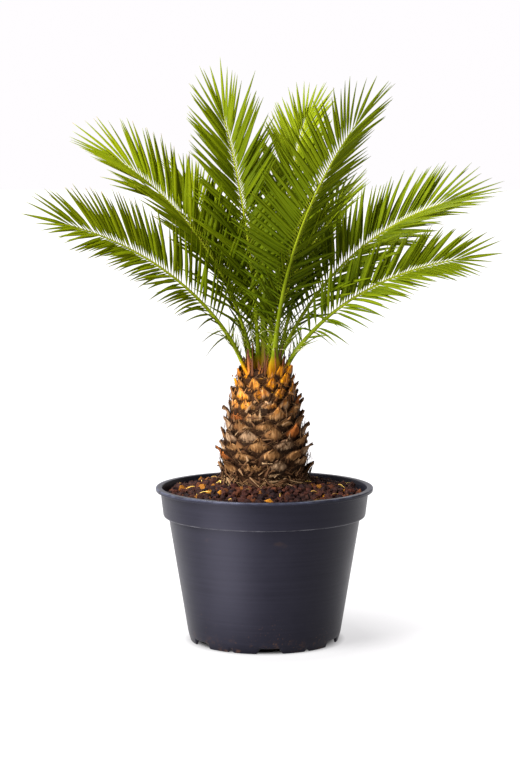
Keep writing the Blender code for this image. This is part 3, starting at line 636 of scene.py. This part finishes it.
shred_count, skirt_count = 420, 130
run = np.linspace(0, 1, 6)
shred_z = 0.300 + 0.196 * each(shred_count) ** 1.15
shred_turn = each(shred_count, 0, 2 * np.pi)
shred_long = each(shred_count, 0.008, 0.026) * (1 - 0.4 * eased(shred_z, 0.42, 0.49))
shred_slant = chance.normal(0.75, 0.75, (shred_count, 1))
shred_path_z = shred_z + shred_long * np.sin(shred_slant) * run
shred_path_r = core_radius(shred_path_z) + each(shred_count, 0.003, 0.0115)
shred_path_r = shred_path_r + shred_long * each(shred_count, -0.05, 0.34) * run**1.5
shred_curl = run + chance.normal(0, 0.3, (shred_count, 1)) * run**2
shred_path_turn = shred_turn + shred_long * np.cos(shred_slant) / 0.08 * shred_curl
shred_path = around(shred_path_r, shred_path_turn, shred_path_z)
shred_face = around(1.0, shred_path_turn, chance.normal(0.2, 0.5, (shred_count, 1)))
skirt_turn = each(skirt_count, 0, 2 * np.pi)
skirt_long = each(skirt_count, 0.018, 0.048)
skirt_turn = skirt_turn + skirt_long * each(skirt_count, -1, 1) / 0.08 * run
skirt_r = each(skirt_count, 0.0735, 0.0790) + skirt_long * each(skirt_count, 0.05, 0.55) * run
skirt_ground = banked(skirt_r) + each(skirt_count, 0.004, 0.011)
skirt_z = each(skirt_count, 0.298, 0.313) * (1 - run) + skirt_ground * run
shred_path = np.concatenate([shred_path, around(skirt_r, skirt_turn, skirt_z)])
skirt_face = around(1.0, skirt_turn, each(skirt_count, 0.4, 2.5))
shred_face, shred_count = np.concatenate([shred_face, skirt_face]), shred_count + skirt_count
shred_z = np.concatenate([shred_z, skirt_z[:, :1]])
shred_width = each(shred_count, 0.0016, 0.0058) * (1 - run) ** 0.8 + 0.0002
shred_sections = ribbons(shred_path, shred_width, 0.0005, shred_face)
shred_tint = each(shred_count)[..., None]
shreds = lay_tubes("sheath_shreds", shred_sections, tint=shred_tint, height=shred_z[..., None])
torn = finish_for("torn_sheath", shreds, Roughness=0.8, Specular_IOR_Level=0.05)
lines, height = grain(torn, 500), given(torn, "height")
paper_colour = coated(
    ramp(given(torn, "tint"), [
        (0.0, 0.020, 0.008, 0.004), (0.45, 0.070, 0.032, 0.014), (0.80, 0.15, 0.078, 0.034),
        (1.0, 0.27, 0.170, 0.090),
    ]),
    (height, 0.43, 0.48, 0, 0.6, (0.30, 0.105, 0.014)),
    (lines, 0.5, 0.7, 0, 0.6, (0.035, 0.015, 0.007)),
)
paint(torn, lines, 0.0012, Base_Color=paper_colour)
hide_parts("trunk")
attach(shreds, "root")

# The fibres: torn sheath threads between the leaf bases, and a skirt of fine pale roots where the trunk goes
# into the gravel. They are dry, stiff and brown to straw-coloured, each at most a millimetre thick and
# thinner towards its tip.
run = np.linspace(0, 1, 6)
thread_count, root_count = 1100, 340
start_z = COLLAR_Z - 0.004 + 0.205 * each(thread_count)
start_turn = each(thread_count, 0, 2 * np.pi)
slant = chance.normal(0, 0.5, (thread_count, 1))
long = each(thread_count, 0.010, 0.034)
curl = each(thread_count, -0.9, 0.9)
thread_z = start_z + long * (np.sin(slant) * run + 0.25 * curl * run**2)
thread_r = core_radius(thread_z) + each(thread_count, 0.000, 0.0085)
thread_r = thread_r + each(thread_count, -0.002, 0.0075) * run**2
thread_turn = start_turn + long * np.cos(slant) * (run + 0.3 * curl * run**2) / thread_r
thread_thick = each(thread_count, 0.00014, 0.00036) * (1 - 0.7 * run)
threads = round_strands(around(thread_r, thread_turn, thread_z), thread_thick)
root_turn = each(root_count, 0, 2 * np.pi)
root_turn = root_turn + chance.normal(0, 0.22, (root_count, 1)) * run
root_turn = root_turn + chance.normal(0, 0.1, (root_count, 1)) * run**2
root_r = each(root_count, 0.0725, 0.0790) + each(root_count, 0.0, 0.016) * run**1.3
ground = banked(root_r) + each(root_count, 0.001, 0.0065)
root_z = each(root_count, 0.296, 0.312) * (1 - run**1.2) + ground * run**1.2
roots = round_strands(around(root_r, root_turn, root_z), each(root_count, 0.00018, 0.00048) * (1 - 0.5 * run))
paleness = np.concatenate([each(thread_count, 0, 0.55), each(root_count, 0.1) ** 1.5])[..., None]
fibres = lay_tubes("sheath_fibres", np.concatenate([threads, roots]), tint=paleness)
dry_fibre = finish_for("dry_fibre", fibres, Roughness=0.75, Specular_IOR_Level=0.06)
fibre_colour = ramp(given(dry_fibre, "tint"), [
    (0.0, 0.022, 0.010, 0.005), (0.35, 0.085, 0.042, 0.018), (0.7, 0.27, 0.155, 0.066),
    (1.0, 0.50, 0.34, 0.16),
])
paint(dry_fibre, grain(dry_fibre, 1200), 0.0003, Base_Color=fibre_colour)

# The crown: the sheaths of the newest fronds, drawn out into stiff orange and brown points that stand up
# between the petioles. Each is a thin, tapered strip of the leaf base that stayed when the sheath dried.
spike_count = 46
spike_turn = np.arange(spike_count)[:, None] * GOLDEN_ANGLE + each(spike_count, -0.15, 0.15)
spike_base_r = np.linspace(0.0425, 0.0180, spike_count)[:, None]
spike_top = each(spike_count, 0.014, 0.058)
run = np.linspace(0, 1, 12)
lean_out = each(spike_count, -0.001, 0.010)
spike_r = spike_base_r + lean_out * run**1.5
spike_z = 0.4900 + (spike_top + 0.008) * run
spike_half = each(spike_count, 0.0010, 0.0042) * (1 - run) ** 0.75 * (1 + 0.5 * run) + 0.0003
across = np.linspace(-1, 1, 6)
spike_turn = spike_turn + chance.normal(0, 0.12, (spike_count, 1)) * run**1.5
spike_turn = spike_turn[..., None] + (spike_half / spike_r)[..., None] * across
bow = spike_half[..., None] * 0.35 * (1 - across**2)
spike_outer = around(spike_r[..., None] + bow, spike_turn, spike_z[..., None])
spike_inner = around(spike_r[..., None] + bow - 0.0011, spike_turn, spike_z[..., None])
spike_sections = np.concatenate([spike_outer, spike_inner[:, :, ::-1]], 2)
spike_tint = each(spike_count)[..., None]
spikes = lay_tubes("crown_sheaths", spike_sections, reached=run[:, None], tint=spike_tint)
sheath = finish_for("crown_sheath", spikes, Roughness=0.5, Specular_IOR_Level=0.1)
lines = grain(sheath, 500, (1, 1, 0.1))
sheath_colour = coated(
    ramp(given(sheath, "reached"), [
        (0.0, 0.55, 0.19, 0.02), (0.35, 0.30, 0.095, 0.018), (0.7, 0.11, 0.030, 0.014),
        (1.0, 0.045, 0.016, 0.010),
    ]),
    (given(sheath, "tint"), 0.2, 0.9, 0, 0.9, (0.040, 0.012, 0.007)),
    (lines, 0.5, 0.7, 0, 0.35, (0.26, 0.11, 0.030)),
)
paint(sheath, lines, 0.001, Base_Color=sheath_colour)

for piece in (core, stubs, fibres, spikes):
    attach(piece, "root")

# The fronds: each a green rachis on a petiole that turns orange at its foot, with forty to sixty-six pairs
# of stiff leaflets, pinched where they join and folded into a V along their midribs. Short spines and dry
# threads stand on the petiole below them. Fronds at the left are painted paler and at the right darker, as
# painted light and shade for the lamps at the left. Leaflets are also painted paler further out along each
# frond and darker near the crown's axis, painted light and shade for the dense middle of the crown.
FIRST_LEAFLET = 0.17
OUTER_RING, INNER_RING = 0.0335, 0.0165
RACHIS_PLACES = (0, 0.07, 0.17, 0.50, 1)
RACHIS_WIDTHS, RACHIS_THICKNESSES = (13.5, 12.0, 8.2, 4.6, 2.0), (9.0, 8.0, 6.2, 3.9, 1.8)
RACHIS_RINGS, FOOT_RINGS, FOOT_DEPTH = 70, 7, 0.031
BLADE_PLACES = np.array([0, 0.045, 0.13, 0.28, 0.45, 0.62, 0.78, 0.91, 1.0])
VALLEY_ANGLE, LEAFLET_WIDTH, BLADE_SKIN = 27, 0.0077, 0.00024
# Azimuth, ring, lean, tip's lean, bend, length, sweep, roll, longest leaflet, share of that in the lower row,
# widest angle of a leaflet to the rachis, and pairs of leaflets.
FRONDS = {
    "frond_front_right": (302, OUTER_RING, 91, 46, 0.70, 0.512, 15, 14, 0.124, 1.00, 71, 66),
    "frond_front_inner": (318, INNER_RING, 89, 48, 1.00, 0.300, 60, 0, 0.110, 1.00, 56, 40),
    "frond_left_low": (192, OUTER_RING, 74, 14, 0.70, 0.458, 22, 74, 0.118, 0.74, 53, 58),
    "frond_right_low": (352, OUTER_RING, 66, 9, 0.75, 0.395, 7, -70, 0.103, 0.76, 53, 52),
    "frond_left_high": (172, INNER_RING, 78, 33, 1.15, 0.470, 0, 40, 0.134, 1.00, 53, 62),
    "frond_right_high": (14, INNER_RING, 67, 16, 1.20, 0.468, -16, -50, 0.122, 1.00, 53, 64),
    "frond_back_high": (68, INNER_RING, 78, 44, 1.55, 0.524, 4, 0, 0.126, 1.00, 50, 66),
    "frond_back_upper": (127, INNER_RING, 86, 64, 1.20, 0.484, -4, 27, 0.138, 1.00, 56, 64),
    "frond_back": (92, OUTER_RING, 66, 12, 0.85, 0.420, 5, 0, 0.116, 1.00, 58, 54),
    "frond_back_right": (46, OUTER_RING, 78, 36, 1.00, 0.380, 14, 0, 0.116, 1.00, 58, 50),
    "frond_back_left": (137, OUTER_RING, 78, 40, 1.00, 0.400, -16, 0, 0.116, 1.00, 58, 50),
}


def frond_line(azimuth, ring, lean, tip_lean, bend, length, sweep, roll, steps=400):
    """The rachis at many places: the share reached, the points, and the directions along, across and up.

    The angle above the horizon is lean + (tip_lean - lean) * share ** bend, the heading azimuth +
    sweep * share. The points add up the direction along. The blade is rolled about it from the petiole on.
    """
    reached = np.linspace(0, 1, steps)
    rise = np.radians(lean + (tip_lean - lean) * reached**bend)
    heading = np.radians(azimuth + sweep * reached)
    along = np.stack([np.cos(rise) * np.cos(heading), np.cos(rise) * np.sin(heading), np.sin(rise)], 1)
    strides = (along[1:] + along[:-1]) / 2 * length / (steps - 1)
    points = np.concatenate([np.zeros((1, 3)), np.cumsum(strides, 0)])
    points += around(ring, np.radians(azimuth), CROWN_Z - 0.004)
    level = np.stack([-np.sin(heading), np.cos(heading), 0 * heading], 1)
    above = np.cross(along, level)
    twist = np.radians(roll) * np.clip(reached / FIRST_LEAFLET, 0, 1)[:, None]
    across, up = np.cos(twist) * level - np.sin(twist) * above, np.cos(twist) * above + np.sin(twist) * level
    return reached, points, along, across, up


def at_places(line, places):
    """Point, along, across and up of a frond_line at shares of its length."""
    return [np.stack([np.interp(places, line[0], part[:, k]) for k in range(3)], -1) for part in line[1:]]


def rachis_sections(line, slim):
    """A rachis of ten-sided rings, round below and flatter above, on rings that clasp the trunk's side.

    Those at its foot go down by FOOT_DEPTH, and out from the axis by 0.45 of the foot's own distance from it.
    """
    places = np.concatenate([np.zeros(FOOT_RINGS), np.linspace(0, 1, RACHIS_RINGS)])
    below = np.concatenate([np.linspace(1, 1 / FOOT_RINGS, FOOT_RINGS), np.zeros(RACHIS_RINGS)])[:, None]
    point, _, across, up = at_places(line, places)
    point = point + below * (point[0] * (0.45, 0.45, 0) - (0, 0, FOOT_DEPTH))
    thinner = slim + (1 - slim) * np.clip(places / 0.35, 0, 1)
    flare = 1 + 1.5 * (1 - eased(places, 0, 0.090))
    half_wide = np.interp(places, RACHIS_PLACES, RACHIS_WIDTHS) / 2000 * thinner * flare
    half_thick = np.interp(places, RACHIS_PLACES, RACHIS_THICKNESSES) / 2000 * thinner
    turn = (np.arange(10) + 0.5) * 2 * np.pi / 10
    wide = (half_wide[:, None] * np.cos(turn))[..., None] * across[:, None]
    tall = half_thick[:, None] * np.sin(turn) * np.where(np.sin(turn) > 0, 0.72, 1.0)
    tall = tall[..., None] * up[:, None]
    return (point[:, None] + wide + tall)[None]


def blades(root, out, wide, thick, length, width, droop, curve):
    """Sections of V-folded leaflets: 9 stations of 6 points, from the arrays of their roots and directions.

    A station lies at root + out * length * s + curve * length * s^2, and droops by droop * length * s^2.
    Its half width is width / 2 * (0.26 + 0.74 * ease of s from 0.01 to 0.27), and beyond 0.32 it narrows by
    1 - 0.95 * ((s - 0.32) / 0.68)^1.7. Its two margins are raised above the midrib by 0.42 of that.
    """
    s = BLADE_PLACES
    centre = root[:, None] + out[:, None] * (length[:, None] * s)[..., None]
    centre = centre + curve[:, None] * (length[:, None] * s**2)[..., None]
    centre[..., 2] -= droop[:, None] * length[:, None] * s**2
    shape = (0.26 + 0.74 * eased(s, 0.01, 0.27)) * (1 - 0.95 * np.clip((s - 0.32) / 0.68, 0, 1) ** 1.7)
    half = (width[:, None] / 2 * shape)[..., None]
    skin = (BLADE_SKIN * (1 - 0.55 * s))[None, :, None]
    wide, thick = wide[:, None], thick[:, None]
    fold = 0.42 * half * thick
    left, right = centre - wide * half + fold, centre + wide * half + fold
    return np.stack([
        left + thick * 0.5 * skin, centre + thick * skin, right + thick * 0.5 * skin,
        right - thick * 0.5 * skin, centre - thick * 1.6 * skin, left - thick * 0.5 * skin,
    ], 2)


def leaflet_sections(line, longest, low_row, widest_angle, pairs, thinning):
    """Both rows of leaflets of a frond, with its end leaflet, as sections, and how far out each one stands.

    Their length grows from half at the first ones to full at 30% of the blade. Their angle to the rachis
    falls by a third along it, and to a fifth by the tip. They stand in bunches of one to five, whose tips
    come together: a leaflet turns by 1.2 degrees for each place that it has from its bunch's middle. The row
    that points down is shorter by low_row, and narrower. Of the first ones the share thinning is missing,
    and less further out.
    """
    index, side = np.tile(np.arange(pairs), 2), np.repeat((1.0, -1.0), pairs)
    bunch = np.cumsum((chance.uniform(0, 1, 2 * pairs) < 0.36) | (index == 0))
    inside = index - (np.bincount(bunch, index) / np.maximum(np.bincount(bunch), 1))[bunch]
    bunch_angle, bunch_valley = chance.normal(0, (1.4, 5.5), (bunch[-1] + 1, 2))[bunch].T
    share = 0.94 * (index / (pairs - 1)) ** 0.80 + 0.06 * (index / (pairs - 1)) ** 12
    kept = chance.uniform(0, 1, 2 * pairs) > thinning * (1 - share) ** 4
    index, side, share, inside = index[kept], side[kept], share[kept], inside[kept]
    bunch_angle, bunch_valley, count = bunch_angle[kept], bunch_valley[kept], kept.sum()
    loose = (1 - share) ** 4
    places = FIRST_LEAFLET + (0.985 - FIRST_LEAFLET) * share
    places = np.clip(places + chance.normal(0, 0.0008, count), 0, 1)
    grown = np.clip((share + 0.08) / 0.38, 0, 1)
    length = longest * (0.50 + 0.50 * grown) * (1 - 0.14 * share**2)
    length = length * np.clip(chance.normal(1, 0.045 + 0.10 * loose), 0.75, 1.15)
    angle = widest_angle * (1 - 0.36 * share - 0.48 * share**12) + 1.2 * inside + bunch_angle
    angle = np.radians(angle + chance.normal(0, 1.2 + 7 * loose))[:, None]
    valley = np.radians(VALLEY_ANGLE + bunch_valley + chance.normal(0, 2.5 + 16 * loose))[:, None]
    width = LEAFLET_WIDTH * (0.44 + 0.56 * grown) * (1 - 0.30 * share**4) * chance.uniform(0.85, 1.1, count)
    point, along, across, up = at_places(line, places)
    shorter = np.where(side * across[:, 2] < 0, low_row, 1)
    length, width = length * shorter, width * shorter**0.8
    side = side[:, None]
    row = np.cos(valley) * side * across + np.sin(valley) * up
    out = np.cos(angle) * along + np.sin(angle) * row
    wide = side * (np.sin(angle) * along - np.cos(angle) * row)
    thick = np.cross(out, wide)
    thick *= np.sign((thick * up).sum(1, keepdims=True))
    lay = np.radians(chance.normal(20, 7, (count, 1)) + chance.normal(0, 18, (count, 1)) * loose[:, None])
    lay = lay * side
    wide, thick = np.cos(lay) * wide + np.sin(lay) * thick, np.cos(lay) * thick - np.sin(lay) * wide
    root = point + row * np.interp(places, RACHIS_PLACES, RACHIS_WIDTHS)[:, None] / 4000
    droop = chance.uniform(0.01, 0.07, count) + 0.10 * chance.uniform(0, 1, count) * (out[:, 2] < 0.35)
    droop = droop + 0.55 * loose * (out[:, 2] < 0.2)
    curve = along * each(count, 0.00, 0.07)
    end = [part[-1:] for part in line[1:]]
    return np.concatenate([
        blades(root, out, wide, thick, length, width, droop, curve),
        blades(end[0], end[1], end[2], end[3], *np.array([[0.8 * longest], [0.0066], [0.02]]), 0 * end[1]),
    ]), np.append(share, 1.0)


def spine_sections(line, pairs=12):
    """Stiff pointed spines in pairs up the upper half of the petiole, which lengthen towards the leaflets."""
    run = np.linspace(0, 1, 6)
    count, side = 2 * pairs, np.tile((1.0, -1.0), pairs)[:, None]
    share = np.repeat(np.linspace(0, 1, pairs), 2) + chance.normal(0, 0.03, count)
    point, along, across, up = at_places(line, 0.050 + 0.12 * share)
    angle = np.radians(each(count, 28, 55))
    out = np.cos(angle) * along + np.sin(angle) * (0.85 * side * across + 0.5 * up)
    long = (0.012 + 0.038 * share.clip(0, 1)) * chance.uniform(0.6, 1.25, count)
    path = (point + side * across * 0.0035)[:, None] + out[:, None] * (long[:, None] * run)[..., None]
    return round_strands(path, 0.0009 * (1 - run**1.5)[None] + 0.0001)


def thread_sections(line, count):
    """Dry curled threads that hang about the lowest leaflets: paths that turn and drop further as they go."""
    run = np.linspace(0, 1, 9)
    point, along, across, up = at_places(line, chance.uniform(0.08, 0.26, count))
    side = chance.choice((-1.0, 1.0), (count, 1))
    out = along * each(count, 0.1, 0.9) + side * across + up * chance.normal(0, 0.4, (count, 1))
    out /= length_of(out)
    long = each(count, 0.020, 0.065)
    turn = each(count, -2.5, 2.5) * run
    bow = np.cross(out, along)
    path = point[:, None] + out[:, None] * (long * np.sin(1.3 * run))[..., None]
    path = path + bow[:, None] * (long * 0.35 * np.sin(turn))[..., None]
    path[..., 2] -= long * each(count, 0.1, 0.6) * run**2
    return round_strands(path, 0.00032 * (1 - 0.5 * run)[None] * np.ones((count, 1)))


def joined(*groups):
    """One list of points and of face arrays from several (points, faces), each counted on from the last."""
    starts = np.cumsum([0] + [len(points) for points, _ in groups])
    faces = [part + start for (_, parts), start in zip(groups, starts) for part in parts]
    return np.concatenate([points for points, _ in groups]), faces


fronds = []
rachis_run = np.concatenate([np.zeros(FOOT_RINGS), np.linspace(0, 1, RACHIS_RINGS)])[:, None]
for name, (*line_numbers, longest, low_row, widest_angle, pairs) in FRONDS.items():
    line = frond_line(*line_numbers)
    low, outer = "low" in name, line_numbers[1] == OUTER_RING
    rachis = rachis_sections(line, 1.0 if outer else 0.78)
    leaflets, shares = leaflet_sections(line, longest, low_row, widest_angle, pairs, 0.5 if low else 0.1)
    parts = rachis, leaflets, spine_sections(line), thread_sections(line, 12 if low else 3)
    frond = lay_mesh(name + "_leaf", *joined(*(capped_tubes(part) for part in parts)))
    # The left fronds' tint is raised by 0.28: painted light from the lamps at the left, on top of a tint that
    # differs at random.
    tint = 0.72 * each(len(leaflets))[..., None] + (0.28 if "left" in name else 0)
    looks = {
        "stem": (1, 0, 0.6, 0), "reached": (rachis_run, BLADE_PLACES[:, None], 0.4, 0.5),
        "rib": (0, (0, 1, 0, 0, 1, 0), 0, 0), "tint": (0.5, tint, 0.5, 0.5),
        "outer_light": (rachis_run, shares[:, None, None], 0, 0), "dried": (0, 0, 0, 1),
        # Painted shade: the right-hand fronds are mixed 0.30 of the way to a dark green.
        "older": [0.30 if "right" in name else 0] * 4,
    }
    for look, values in looks.items():
        numbers = [np.broadcast_to(value, part.shape[:3]).ravel() for value, part in zip(values, parts)]
        give(frond, len(frond.data.vertices), **{look: np.concatenate(numbers)})
    fronds.append(frond)

green = finish_for("palm_frond", *fronds, Roughness=0.45, Specular_IOR_Level=0.015)
tint, reached, blotches = given(green, "tint"), given(green, "reached"), grain(green, 22, detail=3)
# Painted light: leaflets are mixed towards a paler green the further out along the frond they stand, for the
# lit outside of the crown against its shaded middle.
outer_light = times(given(green, "outer_light"), between(reached, 0.0, 1.0, 0.4, 1.0))
brown_tip = times(between(reached, 0.93, 1.0), between(tint, 0.55, 0.8))
tint_colours = [(0.0, 0.052, 0.080, 0.0010), (0.5, 0.080, 0.112, 0.0012), (1.0, 0.125, 0.150, 0.002)]
blade_green = coated(
    ramp(tint, tint_colours), (outer_light, 0.20, 0.95, 0.05, 0.6, (0.145, 0.170, 0.002)),
    (blotches, 0.35, 0.7, 0, 0.35, (0.120, 0.145, 0.003)),
    (given(green, "rib"), 0.80, 0.97, 0, 0.55, (0.22, 0.25, 0.004)),
    (reached, 0.10, 0.0, 0, 0.80, (0.33, 0.34, 0.020)),
    (brown_tip, (0.20, 0.105, 0.030)),
    # Painted shade: leaflets and stems within 0.20 m of the pot's axis are darkened, most within 0.06 m, for
    # the shade deep in the crown.
    (distance_from_axis(green), 0.20, 0.06, 0, 0.50, (0.008, 0.017, 0.0003)),
)
foot_lines = between(grain(green, 260, (1, 1, 0.12)), 0.42, 0.62)
stem_green = coated(
    ramp(reached, [
        (0.0, 0.62, 0.20, 0.006), (0.035, 0.40, 0.20, 0.005), (0.07, 0.105, 0.135, 0.003),
        (0.35, 0.115, 0.145, 0.003), (0.6, 0.19, 0.22, 0.008), (1.0, 0.19, 0.23, 0.010),
    ]),
    (blotches, 0.4, 0.7, 0, 0.3, (0.26, 0.29, 0.020)),
    (times(foot_lines, between(reached, 0.05, 0.0), 0.8), (0.16, 0.040, 0.006)),
)
frond_colour = coated(
    blade_green, (given(green, "stem"), stem_green), (given(green, "older"), (0.020, 0.034, 0.001)),
    (given(green, "dried"), (0.50, 0.46, 0.26)),
)
paint(green, Base_Color=frond_colour)
for name, frond in zip(FRONDS, fronds):
    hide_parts(name)
    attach(frond, "root")

# The spear leaf: the next frond, still closed, with its leaflets pressed together into a ribbed green spike
# that stands in the middle of the crown.
run = np.linspace(0, 1, 30)[:, None]
turn = np.arange(24) * 2 * np.pi / 24
spear_radius = np.interp(run, (0, 0.45, 0.97, 1), (0.0055, 0.0044, 0.0010, 0.0003))
spear_radius = spear_radius * (1 + 0.10 * np.cos(8 * turn + 3 * run))
spear_points = around(spear_radius, turn + 0.8 * run, CROWN_Z - 0.002 + 0.2523 * run)
spear = lay_tubes("spear_leaf_bud", spear_points[None])
bud = finish_for("closed_leaflets", spear, Roughness=0.45, Specular_IOR_Level=0.03)
lines, up_bud = grain(bud, 600, (1, 1, 0.08), 3), between(height_of(bud), CROWN_Z, 0.745)
# Painted shade: the bud's green is kept darker than a fresh spear's, for the shade of the fronds round it;
# its foot is brownish orange.
bud_stops_in_shade = [(0.0, 0.12, 0.070, 0.006), (0.25, 0.026, 0.036, 0.001), (1.0, 0.050, 0.070, 0.002)]
bud_colour_in_shade = coated(ramp(up_bud, bud_stops_in_shade), (lines, 0.45, 0.65, 0, 0.5, (0.050, 0.064, 0.003)))
paint(bud, lines, 0.0006, Base_Color=bud_colour_in_shade)
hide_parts("spear_leaf")
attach(spear, "root")

# The studio: a white floor that fades into a white background, with bright patches at the front left that the
# pot mirrors. A soft main light stands high at the front left with a weak one below it, and another above and
# behind. Above the horizon it is darker at the front and the right. It is seen through a long lens.
bpy.context.scene.view_settings.view_transform = "Standard"
bpy.ops.mesh.primitive_plane_add(size=120)
floor = bpy.context.object
floor.name = "studio_floor"
paper = finish_for(
    "white_paper", floor, Roughness=0.9, Specular_IOR_Level=0.0, Base_Color=(0.13, 0.13, 0.13, 1),
    Emission_Color=(1.0, 0.985, 1.0, 1),
)
# Each row is a spot x, y on the floor, two distances from it, and how much brighter it gets between the two.
# The first two rows keep the floor's glow low under the pot and close round it, a painted contact shade, and
# the last two make glowing patches, painted light for the pot to mirror.
FLOOR_GLOWS = (
    (0, 0, 0.12, 0.15, 0.68), (0, 0, 0.19, 0.34, 0.22), (0, 0, 0.4, 2.5, 0.20),
    (-0.42, -0.40, 0.34, 0.0612, 5.5), (-0.19, -0.30, 0.21, 0.0378, 3.5),
)
on_floor = wire(paper, "NewGeometry").outputs["Position"]
glows = []
for x, y, start, end, more in FLOOR_GLOWS:
    away = wire(paper, "VectorMath", {0: on_floor, 1: (x, y, 0)}, operation="DISTANCE").outputs["Value"]
    glows.append(between(away, start, end, 0, more))
paint(paper, Emission_Strength=reckon("ADD", *glows))

world = bpy.data.worlds.new("white_studio")
bpy.context.scene.world = world
world.use_nodes = True
sky = world.node_tree
way = wire(sky, "SeparateXYZ", {"Vector": wire(sky, "TexCoord").outputs["Generated"]})
left_share = between(way.outputs["X"], 0.15, 0.55, 1.0, 0.16)
back_share = between(way.outputs["Y"], 0.0, -0.60, 1.0, 0.40)
sky.nodes["Background"].inputs["Color"].default_value = (1.0, 0.98, 1.0, 1)
near_horizon = between(way.outputs["Z"], 0.25, 0.10)
brightness = reckon("MAXIMUM", times(left_share, back_share), near_horizon)
sky.links.new(brightness, sky.nodes["Background"].inputs["Strength"])

for name, place, size, power in (
    ("key_softbox", (-1.75, -1.55, 2.8), 1.5, 320),
    ("side_softbox", (-1.9, -2.1, 0.6), 1.0, 80),
    ("top_softbox", (-0.5, 1.1, 2.9), 1.0, 70),
):
    lamp = bpy.data.lights.new(name, "AREA")
    lamp.size, lamp.energy = size, power
    softbox = bpy.data.objects.new(name, lamp)
    softbox.location = place
    aim = np.array((0, 0, 0.45)) - place
    softbox.rotation_euler = (math.acos(-aim[2] / np.linalg.norm(aim)), 0, math.atan2(-aim[0], aim[1]))
    bpy.context.scene.collection.objects.link(softbox)

lens = bpy.data.cameras.new("camera")
lens.lens, lens.sensor_width = 100, 36
camera = bpy.data.objects.new("camera", lens)
camera.location = (-0.0082, -3.947, 0.881)
camera.rotation_euler = (math.radians(90 - 6.06), 0, 0)
bpy.context.scene.collection.objects.link(camera)
bpy.context.scene.camera = camera

bpy.context.view_layer.update()
